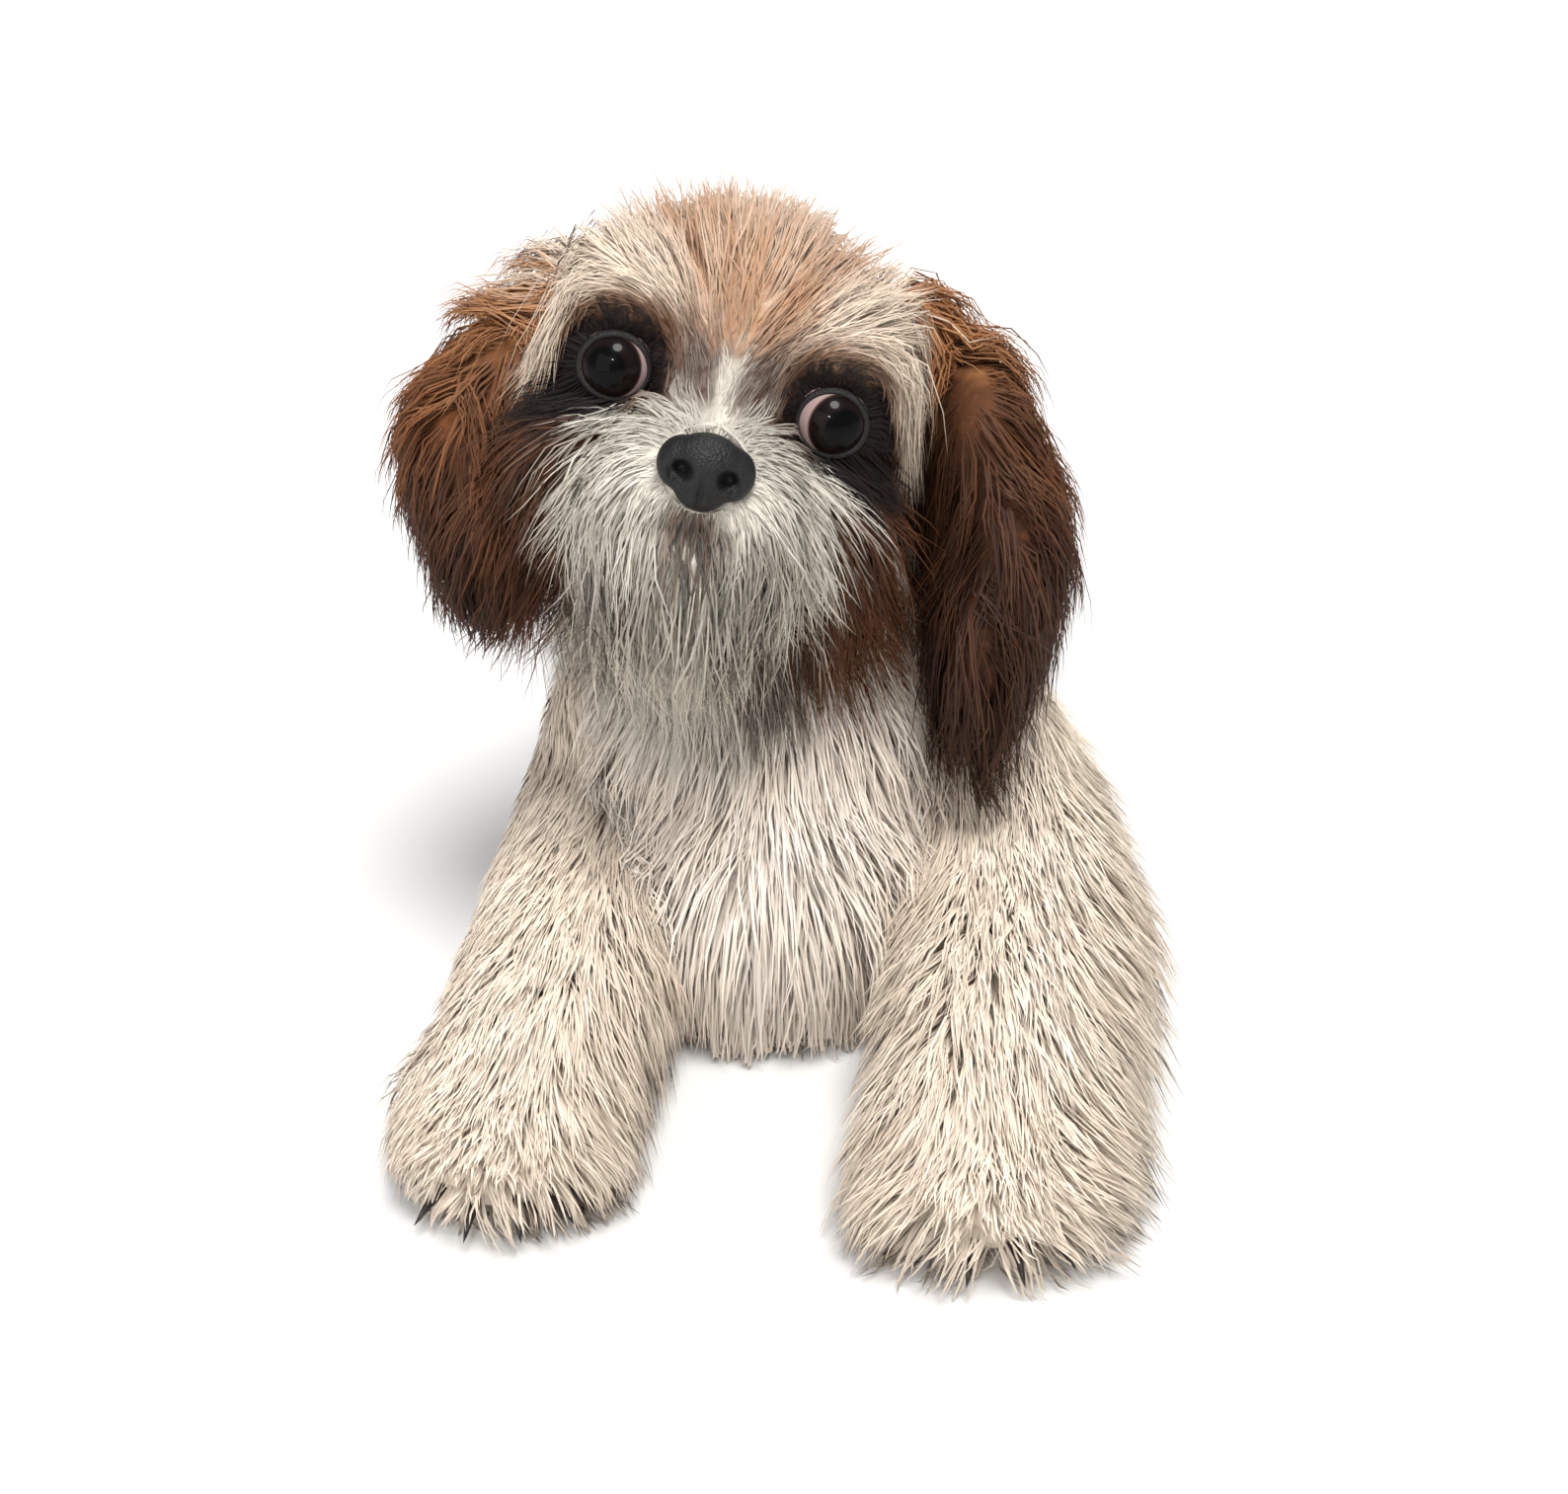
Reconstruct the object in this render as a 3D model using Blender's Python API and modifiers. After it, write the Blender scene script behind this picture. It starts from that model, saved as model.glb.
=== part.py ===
"""A life-size shih tzu that lies on the floor with its head up, looking ahead and upwards.

Metres, +Z up. The dog faces -Y, +X is its left side, and the origin is on the floor under its chest.
Every length in the tables below is in centimetres, and cm() turns it into metres.
"""

import bisect
import math
import random
from typing import NamedTuple

import bmesh
import bpy
from mathutils import Matrix, Vector
from mathutils.bvhtree import BVHTree

# The head's own frame: +X to the dog's left, -Y out of the face, +Z through the crown.
HEAD_PLACE = (-1.9, -7.8, 21.1)
HEAD_PITCH = 13.0
HEAD_ROLL = 14.8
EYE_SPACING = 6.5
EYE_RADIUS = 1.1
EYE_DEPTH = 4.35
EYE_HEIGHT = 0.6
LID_STAND = 0.5
LID_RADII = (1.15, 0.95)
LID_THICKNESS = 0.22
LIP_FRONT = -7.0
LIP_HEIGHT = -3.0
NOSE_WIDTH = 2.8
NOSE_PLACE = (0.0, -7.5, -1.15)

BODY_HALF_WIDTH = 6.6
BACK_HEIGHT = 14.8
RUMP_END = 21.8
FOREARM_RADIUS = 1.75
PAW_RADII = (2.5, 3.3, 1.9)
CLAW_TURNS = (-36.0, -12.0, 12.0, 36.0)
CLAW_LENGTH = 1.5

# How far the coat stands off the skin, and the share of that which the solid core fills.
COAT = {
    "head": 1.5,
    "jaw": 1.2,
    "ear": 1.2,
    "neck": 2.0,
    "torso": 1.8,
    "forepaw": 1.8,
    "hindleg": 2.0,
    "hindpaw": 0.9,
    "tail": 2.0,
}
CORE_SHARE = 0.5

# A lock's cross sections from its root: their shares of its width and of its thickness. The tip follows.
LOCK_SECTIONS = ((0.75, 1.0), (1.0, 1.0), (0.9, 0.8), (0.55, 0.6))
# How far it has risen to its full stand over the core at each section after the root, and at the tip.
LOCK_LIFTS = (0.4, 0.8, 1.0, 1.1)
LOCK_THICKNESS = 0.4
REACH = 2.5
ROOT_DEPTH = 0.35
ROOT_ROOM = 0.35
LOCK_RISE = 0.35
LOCK_SWAY = 0.22
CLEARANCE = 0.4
FLOOR_CLEARANCE = 0.35
LOWEST = 0.05
KEPT_SHARE = 0.6
SEED = 7

GAP = 0.00035
LOCK_GAP = 0.0006
SHORTEST_EDGE = 0.00006
FLAT = math.radians(1.0)
VOXEL = 0.0045
FLOOR_DEPTH = 0.1
SIDES = (("left", 1), ("right", -1))


def cm(*values):
    """A length or a point given in centimetres, in metres."""
    if len(values) == 1:
        return values[0] * 0.01
    return Vector(values) * 0.01


def head_frame():
    """The head's place and tilt: muzzle raised, left side lowered."""
    turn = Matrix.Rotation(math.radians(-HEAD_PITCH), 4, "X")
    tilt = Matrix.Rotation(math.radians(HEAD_ROLL), 4, "Y")
    return Matrix.Translation(cm(*HEAD_PLACE)) @ turn @ tilt


HEAD = head_frame()
WORLD = Matrix.Identity(4)


def clear_scene():
    for obj in list(bpy.data.objects):
        bpy.data.objects.remove(obj)


def new_collection(name):
    collection = bpy.data.collections.new(name)
    bpy.context.scene.collection.children.link(collection)
    return collection


def new_object(name, mesh, collection):
    obj = bpy.data.objects.new(name, mesh)
    collection.objects.link(obj)
    return obj


def mesh_of(form, name):
    """The bmesh as a mesh of triangles whose faces point out."""
    bmesh.ops.recalc_face_normals(form, faces=form.faces)
    bmesh.ops.triangulate(form, faces=form.faces)
    mesh = bpy.data.meshes.new(name)
    form.to_mesh(mesh)
    form.free()
    return mesh


def settle(obj):
    """Applies every modifier, so that the mesh holds the finished shape."""
    graph = bpy.context.evaluated_depsgraph_get()
    finished = bpy.data.meshes.new_from_object(obj.evaluated_get(graph))
    plain = obj.data
    obj.modifiers.clear()
    obj.data = finished
    bpy.data.meshes.remove(plain)


def add_ellipsoid(form, centre, radii, place=WORLD, segments=20):
    scale = Matrix.Diagonal((*(cm(r) for r in radii), 1.0))
    matrix = place @ Matrix.Translation(cm(*centre)) @ scale
    bmesh.ops.create_uvsphere(
        form, u_segments=segments, v_segments=segments // 2 + 2, radius=1.0, matrix=matrix
    )


def chain(points, radii, coats, beads=6):
    """Overlapping round lumps along a path, as a limb's or a tail's flesh, with the coat on each."""
    lumps = []
    stops = list(zip(points, radii, coats))
    for (a, radius_a, coat_a), (b, radius_b, coat_b) in zip(stops, stops[1:]):
        for n in range(beads):
            share = n / beads
            radius = radius_a + (radius_b - radius_a) * share
            coat = coat_a + (coat_b - coat_a) * share
            lumps.append((tuple(Vector(a).lerp(Vector(b), share)), (radius,) * 3, coat))
    lumps.append((points[-1], (radii[-1],) * 3, coats[-1]))
    return lumps


def grow(name, lumps, collection, coat=0.0, faces=600, place=WORLD, voxel=VOXEL, smooth=8):
    """One smooth closed form over overlapping ellipsoids, each swollen by its share of the coat.

    A lump that names a coat of its own as a third value has that instead.
    """
    form = bmesh.new()
    for centre, radii, *own in lumps:
        cover = (own[0] if own else coat) * CORE_SHARE
        add_ellipsoid(form, centre, [radius + cover for radius in radii], place)
    obj = new_object(name, mesh_of(form, name), collection)
    remesh = obj.modifiers.new("Remesh", "REMESH")
    remesh.mode = "VOXEL"
    remesh.voxel_size = voxel
    soften = obj.modifiers.new("Smooth", "SMOOTH")
    soften.iterations = smooth
    settle(obj)
    thin_out(obj, faces)
    return obj


def thin_out(obj, faces):
    """Brings the mesh down to about this many triangles."""
    count = sum(len(polygon.vertices) - 2 for polygon in obj.data.polygons)
    fewer = obj.modifiers.new("Decimate", "DECIMATE")
    fewer.ratio = min(1.0, faces / count)
    fewer.use_collapse_triangulate = True
    settle(obj)


def boolean(obj, operand, operation, solver="MANIFOLD"):
    """Joins or cuts with one object, or with all of a collection."""
    modifier = obj.modifiers.new("Boolean", "BOOLEAN")
    modifier.operation = operation
    modifier.solver = solver
    if isinstance(operand, bpy.types.Collection):
        modifier.operand_type = "COLLECTION"
        modifier.collection = operand
    else:
        modifier.object = operand
    settle(obj)


def swollen(obj, gap, collection):
    """A copy that stands a gap proud all round, to cut a neighbour with."""
    cutter = new_object("cut_" + obj.name, obj.data.copy(), collection)
    cutter.hide_render = True
    cutter.display_type = "WIRE"
    swell = cutter.modifiers.new("Gap", "DISPLACE")
    swell.mid_level = 0.0
    swell.strength = gap
    settle(cutter)
    return cutter


def boxes_meet(first, second, margin):
    a = [first.matrix_world @ Vector(corner) for corner in first.bound_box]
    b = [second.matrix_world @ Vector(corner) for corner in second.bound_box]
    return all(
        min(p[axis] for p in a) - margin < max(p[axis] for p in b)
        and min(p[axis] for p in b) - margin < max(p[axis] for p in a)
        for axis in range(3)
    )


def collapse_short_edges(form):
    """Draws together the ends of edges too short to matter, where the surface stays closed."""
    short = [edge for edge in form.edges if edge.calc_length() < SHORTEST_EDGE]
    while short:
        edge = short.pop()
        if not edge.is_valid:
            continue
        kept, dropped = edge.verts
        first = {other.other_vert(kept) for other in kept.link_edges}
        second = {other.other_vert(dropped) for other in dropped.link_edges}
        if len(first & second) == 2:
            bmesh.ops.pointmerge(form, verts=[kept, dropped], merge_co=kept.co.copy())


def join_flats(form):
    """Makes one face of what lies in one plane."""
    bmesh.ops.dissolve_limit(form, angle_limit=FLAT, verts=form.verts, edges=form.edges)


def is_closed(form):
    return all(edge.is_manifold and edge.is_contiguous for edge in form.edges)


def cleaned(form):
    """A copy in whole triangles without needles, as clean as it can be made and still be closed."""
    for steps in ((join_flats, collapse_short_edges), (collapse_short_edges,), ()):
        trial = form.copy()
        for step in steps:
            step(trial)
            bmesh.ops.triangulate(trial, faces=trial.faces)
        if is_closed(trial):
            return trial
        trial.free()
    return form.copy()


def put_in_order(form):
    """Numbers the mesh by where things lie, since a cut may leave them in any order."""
    form.verts.sort(key=lambda vert: vert.co.x + vert.co.y * 1.37 + vert.co.z * 2.11)
    form.verts.index_update()
    form.edges.sort(key=edge_place)
    form.faces.sort(key=edge_place)


def edge_place(item):
    """A number that grows with the places of an edge's or a face's corners."""
    places = sorted(vert.index for vert in item.verts)
    return places[0] * 1e6 + places[-1] + places[len(places) // 2] * 1e-6


def keep_largest(obj):
    """Keeps the largest closed surface of the mesh and drops loose scraps and sealed hollows."""
    form = bmesh.new()
    form.from_mesh(obj.data)
    put_in_order(form)
    bmesh.ops.triangulate(form, faces=form.faces)
    put_in_order(form)
    left = set(form.verts)
    groups = []
    while left:
        stack = [left.pop()]
        group = set(stack)
        while stack:
            for edge in stack.pop().link_edges:
                for vert in edge.verts:
                    if vert in left:
                        left.discard(vert)
                        group.add(vert)
                        stack.append(vert)
        groups.append(group)
    largest = max(groups, key=len)
    spare = [vert for vert in form.verts if vert not in largest]
    bmesh.ops.delete(form, geom=spare, context="VERTS")
    whole = cleaned(form)
    whole.to_mesh(obj.data)
    whole.free()
    form.free()


def cut_by(obj, cutters):
    """Cuts every cutter of the list from the object in one go."""
    used = bpy.data.collections.new("cutting")
    for cutter in cutters:
        used.objects.link(cutter)
    boolean(obj, used, "DIFFERENCE")
    bpy.data.collections.remove(used)
    keep_largest(obj)


def floor_block(collection):
    """What lies under the floor, to cut the resting flats with."""
    form = bmesh.new()
    bmesh.ops.create_cube(form, size=1.0)
    bmesh.ops.scale(form, vec=(1.0, 1.0, FLOOR_DEPTH), verts=form.verts)
    bmesh.ops.translate(form, vec=(0.0, 0.0, -FLOOR_DEPTH / 2), verts=form.verts)
    block = new_object("under_floor", mesh_of(form, "under_floor"), collection)
    block.hide_render = True
    block.display_type = "WIRE"
    return block


def paint(obj, colour, roughness):
    """A plain Principled finish in sRGB hex."""
    material = bpy.data.materials.new(obj.name)
    material.use_nodes = True
    shader = material.node_tree.nodes["Principled BSDF"]
    channels = [int(colour[n : n + 2], 16) / 255 for n in (0, 2, 4)]
    linear = [c / 12.92 if c < 0.04045 else ((c + 0.055) / 1.055) ** 2.4 for c in channels]
    shader.inputs["Base Color"].default_value = (*linear, 1.0)
    shader.inputs["Roughness"].default_value = roughness
    obj.data.materials.clear()
    obj.data.materials.append(material)


# What the locks of the face leave bare, seen from ahead: places across and up, and radii.
FEATURES = (
    (EYE_SPACING / 2, EYE_HEIGHT, 1.35),
    (-EYE_SPACING / 2, EYE_HEIGHT, 1.35),
    (NOSE_PLACE[0], NOSE_PLACE[2] - 0.1, 1.5),
)


class Lie(NamedTuple):
    """How the coat lies at one place: which way it runs, and the size of its locks in centimetres."""

    flow: Vector
    length: float
    width: float
    lift: float
    spacing: float
    cling: float = 0.7


def surface_of(obj):
    """The form as a tree that tells the nearest point of its surface."""
    form = bmesh.new()
    form.from_mesh(obj.data)
    tree = BVHTree.FromBMesh(form)
    form.free()
    return tree


def held_off(point, tree, height, cling=0.0):
    """The point moved out to at least this height over a near surface, and drawn down to it by the cling."""
    nearest, normal, _, distance = tree.find_nearest(point)
    if distance > height + cm(REACH):
        return point, None
    over = (point - nearest).dot(normal)
    if over < height:
        point = point + normal * (height - over)
    else:
        point = point - normal * (over - height) * cling
    return point, normal


def beside_the_features(point, half_width):
    """The point moved aside from in front of an eye or the nose, which locks part round."""
    spot = (HEAD.inverted() @ point) * 100
    if spot.y > -EYE_DEPTH + 1.5 or spot.length > 12.0:
        return point
    for x, z, radius in FEATURES:
        aside = Vector((spot.x - x, 0.0, spot.z - z))
        room = radius + half_width * 0.6
        if 0.01 < aside.length < room:
            spot = spot + aside.normalized() * (room - aside.length)
    return HEAD @ (spot * 0.01)


def drape(root, normal, lie, sway, own, others):
    """A lock's middle line from its sunk root to its tip, and which way its face looks along it."""
    point = root - normal * cm(ROOT_DEPTH)
    face = normal
    line = [(point, face)]
    flow = (lie.flow + lie.flow.cross(normal) * sway).normalized()
    heading = (flow + normal * LOCK_RISE).normalized()
    for lift in LOCK_LIFTS:
        last = point
        point = last + heading * cm(lie.length) / len(LOCK_LIFTS)
        point, look = held_off(point, own, cm(lie.lift) * lift, lie.cling)
        face = look or face
        for other in others:
            point, _ = held_off(point, other, cm(CLEARANCE))
        point = beside_the_features(point, lie.width / 2)
        point.z = max(point.z, cm(FLOOR_CLEARANCE))
        line.append((point, face))
        heading = ((point - last).normalized() + flow).normalized()
    return line


def lock_form(line, lie):
    """A flat, tapered lock along its middle line: a loft of low ridges that ends in a point."""
    form = bmesh.new()
    rings = []
    for n, (wide, thick) in enumerate(LOCK_SECTIONS):
        point, face = line[n]
        along = (line[n + 1][0] - line[max(n - 1, 0)][0]).normalized()
        across = along.cross(face).normalized() * cm(lie.width) * wide / 2
        up = across.cross(along).normalized() * cm(LOCK_THICKNESS) * thick
        corners = (point + across - up / 3, point + up * 2 / 3, point - across - up / 3)
        for corner in corners:
            corner.z = max(corner.z, cm(LOWEST))
        rings.append([form.verts.new(corner) for corner in corners])
    tip = form.verts.new(line[-1][0])
    form.faces.new(rings[0])
    for n in range(3):
        m = (n + 1) % 3
        for ring, following in zip(rings, rings[1:]):
            form.faces.new((ring[n], ring[m], following[m], following[n]))
        form.faces.new((rings[-1][n], rings[-1][m], tip))
    return form


def scatter(obj, lie_at, draw, tries):
    """Places on the form's surface for the roots, spread evenly by the spacing of the coat there."""
    triangles = []
    total = 0.0
    for polygon in sorted(obj.data.polygons, key=lambda face: tuple(face.center)):
        corners = [obj.data.vertices[n].co for n in polygon.vertices]
        total += polygon.area
        triangles.append((total, corners, polygon.normal.copy()))
    limits = [entry[0] for entry in triangles]
    chosen = []
    for _ in range(tries):
        pick = bisect.bisect_left(limits, draw.random() * total)
        _, (a, b, c), normal = triangles[min(pick, len(triangles) - 1)]
        u, v = sorted((draw.random(), draw.random()))
        point = a * u + b * (v - u) + c * (1 - v)
        lie = lie_at(point, normal)
        if lie is None:
            continue
        if all((point - other).length > cm(lie.spacing) for other, _, _ in chosen):
            chosen.append((point, normal, lie))
    return chosen


def measure(obj):
    """The volume of a closed form, or nothing where it isn't closed."""
    form = bmesh.new()
    form.from_mesh(obj.data)
    volume = form.calc_volume() if is_closed(form) else 0.0
    form.free()
    return volume


def coat(obj, lie_at, nodes, guides, tries=1500):
    """Grows the locks of a node, bends and cuts them clear of the other nodes, and fuses them on."""
    draw = random.Random(SEED + ORDER.index(obj.name))
    own = surface_of(obj)
    near = [other for other in nodes if other is not obj and boxes_meet(obj, other, cm(7.0))]
    trees = [surface_of(other) for other in near]
    cutters = [swollen(other, LOCK_GAP, guides) for other in near]
    edges = [surface_of(cutter) for cutter in cutters]
    locks = bpy.data.collections.new("locks")
    for root, normal, lie in scatter(obj, lie_at, draw, tries):
        if min(((root - tree.find_nearest(root)[0]).length for tree in trees), default=1.0) < cm(ROOT_ROOM):
            continue
        across = lie.flow - normal * lie.flow.dot(normal)
        if across.length < 0.05:
            continue
        sized = lie._replace(
            flow=across.normalized(),
            length=lie.length * draw.uniform(0.85, 1.15),
            width=lie.width * draw.uniform(0.85, 1.15),
        )
        line = drape(root, normal, sized, draw.uniform(-LOCK_SWAY, LOCK_SWAY), own, trees)
        lock = new_object("lock", mesh_of(lock_form(line, sized), "lock"), locks)
        bpy.context.scene.collection.objects.link(lock)
        whole = measure(lock)
        shape = surface_of(lock)
        crossed = [cutter for cutter, edge in zip(cutters, edges) if shape.overlap(edge)]
        if crossed:
            cut_by(lock, crossed)
            shape = surface_of(lock)
            still_crossed = any(shape.overlap(tree) for tree in trees)
            if still_crossed or measure(lock) < whole * KEPT_SHARE:
                bpy.data.objects.remove(lock)
    for cutter in cutters:
        bpy.data.objects.remove(cutter)
    if locks.objects:
        boolean(obj, locks, "UNION")
    for lock in list(locks.objects):
        bpy.data.objects.remove(lock)
    bpy.data.collections.remove(locks)
    keep_largest(obj)


def make_eyes(parts):
    for side, sign in SIDES:
        centre = (sign * EYE_SPACING / 2, -EYE_DEPTH, EYE_HEIGHT)
        form = bmesh.new()
        add_ellipsoid(form, centre, (EYE_RADIUS,) * 3, HEAD, segments=12)
        eye = new_object("eye_" + side, mesh_of(form, "eye_" + side), parts)
        paint(eye, "140d0a", 0.1)


def make_nose(parts, guides):
    """The leather of the nose, with a nostril on each side."""
    half = NOSE_WIDTH / 2
    x, y, z = NOSE_PLACE
    lumps = [
        ((x, y, z + 0.1), (half * 0.8, 0.8, 0.95)),
        ((x, y + 0.1, z - 0.75), (0.55, 0.6, 0.6)),
        ((x + half * 0.5, y + 0.15, z), (half * 0.52, 0.72, 0.75)),
        ((x - half * 0.5, y + 0.15, z), (half * 0.52, 0.72, 0.75)),
    ]
    nose = grow("nose", lumps, parts, faces=240, place=HEAD, voxel=0.0012, smooth=4)
    for sign in (1, -1):
        form = bmesh.new()
        hole = (x + sign * 0.72, y - 0.75, z - 0.12)
        add_ellipsoid(form, hole, (0.26, 0.75, 0.3), HEAD, segments=10)
        cutter = new_object("nostril", mesh_of(form, "nostril"), guides)
        cutter.hide_render = True
        boolean(nose, cutter, "DIFFERENCE")
        bpy.data.objects.remove(cutter)
    paint(nose, "1c1a1c", 0.45)


def fuse(obj, forms):
    """Joins further closed forms to an object in one union."""
    pieces = bpy.data.collections.new("pieces")
    for form in forms:
        piece = new_object("piece", mesh_of(form, "piece"), pieces)
        bpy.context.scene.collection.objects.link(piece)
    boolean(obj, pieces, "UNION")
    for piece in list(pieces.objects):
        bpy.data.objects.remove(piece)
    bpy.data.collections.remove(pieces)
    keep_largest(obj)


def ring_form(centre, radii, thickness, place, sides=12, corners=4):
    """A closed rim round an eye: a ring that faces ahead, wider than it is high."""
    form = bmesh.new()
    rings = []
    for n in range(sides):
        angle = math.tau * n / sides
        out = Vector((math.cos(angle) * radii[0], 0.0, math.sin(angle) * radii[1]))
        ring = []
        for k in range(corners):
            turn = math.tau * k / corners
            spot = out + out.normalized() * math.cos(turn) * thickness
            spot.y = math.sin(turn) * thickness
            ring.append(form.verts.new(place @ cm(*(Vector(centre) + spot))))
        rings.append(ring)
    for ring, following in zip(rings, rings[1:] + rings[:1]):
        for k in range(corners):
            m = (k + 1) % corners
            form.faces.new((ring[k], ring[m], following[m], following[k]))
    return form


def cone_form(start, end, radius, place=WORLD, sides=6):
    """A closed cone from the middle of its base to its point."""
    start, end = place @ cm(*start), place @ cm(*end)
    turn = (end - start).to_track_quat("Z", "Y").to_matrix().to_4x4()
    form = bmesh.new()
    bmesh.ops.create_cone(
        form,
        cap_ends=True,
        segments=sides,
        radius1=cm(radius),
        radius2=0.0,
        depth=(end - start).length,
        matrix=Matrix.Translation((start + end) / 2) @ turn,
    )
    return form


def lip_form(height, place=HEAD):
    """One side of a lip as a cone from the middle of the mouth out to its corner, for each side."""
    forms = []
    for _, sign in SIDES:
        start = (sign * 0.1, LIP_FRONT, height)
        end = (sign * 2.7, LIP_FRONT + 2.2, height - 0.5)
        forms.append(cone_form(start, end, 0.42, place))
    return forms


def make_head(parts):
    lumps = [
        ((0.0, 0.5, 0.5), (5.0, 5.2, 4.5)),
        ((0.0, -5.0, -1.7), (2.7, 2.0, 2.0), 0.6),
        ((0.0, -3.6, 0.2), (2.4, 2.2, 2.6), 0.3),
    ]
    for _, sign in SIDES:
        lumps += [
            ((sign * 3.4, -2.0, -2.1), (2.1, 2.9, 2.4), 0.7),
            ((sign * 3.2, -3.4, 2.3), (2.0, 1.6, 1.3), 0.7),
            ((sign * 1.3, -6.0, -2.3), (1.5, 1.3, 1.4), 0.5),
        ]
    head = grow("head", lumps, parts, COAT["head"], faces=460, place=HEAD)
    lids = []
    for _, sign in SIDES:
        centre = (sign * EYE_SPACING / 2, -EYE_DEPTH - LID_STAND, EYE_HEIGHT)
        lids.append(ring_form(centre, LID_RADII, LID_THICKNESS, HEAD))
    fuse(head, lids + lip_form(LIP_HEIGHT))
    paint(head, "d9b48c", 0.8)


def make_jaw(parts):
    lumps = [
        ((0.0, -5.1, -4.1), (2.0, 2.0, 1.2)),
        ((0.0, -3.0, -4.2), (2.6, 2.2, 1.4)),
    ]
    jaw = grow("jaw", lumps, parts, COAT["jaw"], faces=160, place=HEAD)
    fuse(jaw, lip_form(LIP_HEIGHT - 0.5))
    paint(jaw, "dcd6c8", 0.8)


# Each ear's leaf from its root to its lower end: places, and half sizes across, along the head and down.
EARS = {
    1: (
        ((3.9, -6.0, 21.9), (1.5, 2.3, 1.7)),
        ((6.0, -7.4, 19.2), (1.4, 2.9, 2.6)),
        ((6.9, -8.8, 16.2), (1.4, 3.1, 3.0)),
        ((6.2, -10.0, 13.8), (1.1, 2.5, 2.3)),
    ),
    -1: (
        ((-6.9, -5.4, 22.6), (1.5, 2.2, 1.4)),
        ((-8.6, -6.4, 21.0), (1.9, 2.7, 1.8)),
        ((-9.9, -7.6, 19.2), (1.6, 2.9, 2.2)),
        ((-9.4, -8.8, 17.2), (1.1, 2.5, 2.0)),
    ),
}


def make_ears(parts, guides):
    """The leaves of the ears, each with the cup of its opening on the inner side."""
    for side, sign in SIDES:
        ear = grow("ear_" + side, EARS[sign], parts, COAT["ear"], faces=180)
        (x, y, z), (half, _, _) = EARS[sign][1]
        form = bmesh.new()
        add_ellipsoid(form, (x - sign * (half + 0.3), y, z), (0.9, 1.3, 2.0), segments=10)
        cup = new_object("cup", mesh_of(form, "cup"), guides)
        cup.hide_render = True
        boolean(ear, cup, "DIFFERENCE")
        bpy.data.objects.remove(cup)
        paint(ear, "6b4022", 0.8)


def make_neck(parts):
    points = [(-0.6, -3.6, 11.0), (-1.0, -4.6, 14.5), (-1.5, -5.4, 18.5)]
    neck = grow("neck", chain(points, (5.0, 4.7, 4.3), (COAT["neck"],) * 3), parts, faces=160)
    paint(neck, "e8dfd2", 0.8)


def make_torso(parts):
    half = BODY_HALF_WIDTH
    lumps = [
        ((-0.5, -5.8, 6.6), (half - 0.8, 5.4, 6.2)),
        ((-0.4, -9.2, 3.5), (half - 1.9, 4.6, 4.5)),
        ((0.3, 1.5, BACK_HEIGHT / 2), (half, 7.5, BACK_HEIGHT / 2)),
        ((1.1, 9.5, 6.9), (half - 0.3, 7.0, 6.6)),
        ((2.0, RUMP_END - 6.0, 6.5), (half, 6.0, 6.5)),
    ]
    torso = grow("torso", lumps, parts, COAT["torso"], faces=340)
    paint(torso, "e8dfd2", 0.8)


FORELEGS = {
    1: ((4.2, -5.2, 8.6), (6.4, -5.0, 4.8), (7.7, -11.0, 3.3), (6.8, -17.0, 2.7)),
    -1: ((-4.6, -4.8, 8.6), (-5.6, -4.6, 4.8), (-6.9, -9.5, 3.2), (-7.6, -14.8, 2.6)),
}
FORELEG_RADII = (2.6, 2.3, FOREARM_RADIUS, FOREARM_RADIUS)
# The coat is short at the shoulder and widens into a bell towards the paw, more so on the left leg.
FORELEG_COATS = {1: (0.9, 1.6, 3.8, 4.8), -1: (0.9, 1.2, 2.8, 3.9)}
FOREPAWS = {1: (6.1, -21.2, 1.8), -1: (-8.6, -19.3, 1.8)}


def claw_forms(paw, radii):
    """Four claws side by side at the front of a paw."""
    forms = []
    for turn in CLAW_TURNS:
        angle = math.radians(turn)
        ahead = Vector((math.sin(angle), -math.cos(angle), 0.0))
        base = Vector(paw) + Vector((ahead.x * radii[0], ahead.y * radii[1], -0.75))
        tip = base + ahead * CLAW_LENGTH + Vector((0.0, 0.0, -0.35))
        forms.append(cone_form(base, tip, 0.3))
    return forms


def make_forelegs(parts):
    for side, sign in SIDES:
        lumps = chain(FORELEGS[sign], FORELEG_RADII, FORELEG_COATS[sign])
        leg = grow("foreleg_" + side, lumps, parts, faces=210)
        paint(leg, "ece2d3", 0.8)
        lumps = [(FOREPAWS[sign], PAW_RADII)]
        paw = grow("forepaw_" + side, lumps, parts, COAT["forepaw"], faces=160)
        fuse(paw, claw_forms(FOREPAWS[sign], PAW_RADII))
        paint(paw, "efe6d8", 0.8)


HIP_SHIFT = 1.0


def make_hindlegs(parts):
    for side, sign in SIDES:
        shift = HIP_SHIFT
        lumps = [
            ((sign * 5.2 + shift, 15.5, 6.4), (3.0, 5.2, 4.8)),
            ((sign * 6.8 + shift, 13.0, 4.3), (2.4, 3.4, 3.2)),
            ((sign * 6.6 + shift, 16.5, 2.4), (1.8, 4.6, 2.0)),
        ]
        leg = grow("hindleg_" + side, lumps, parts, COAT["hindleg"], faces=180)
        paint(leg, "ece2d3", 0.8)
        lumps = [((sign * 6.5 + shift * 0.6, 11.3, 1.5), (1.9, 3.4, 1.5))]
        paw = grow("hindpaw_" + side, lumps, parts, COAT["hindpaw"], faces=120)
        paint(paw, "efe6d8", 0.8)


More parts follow.
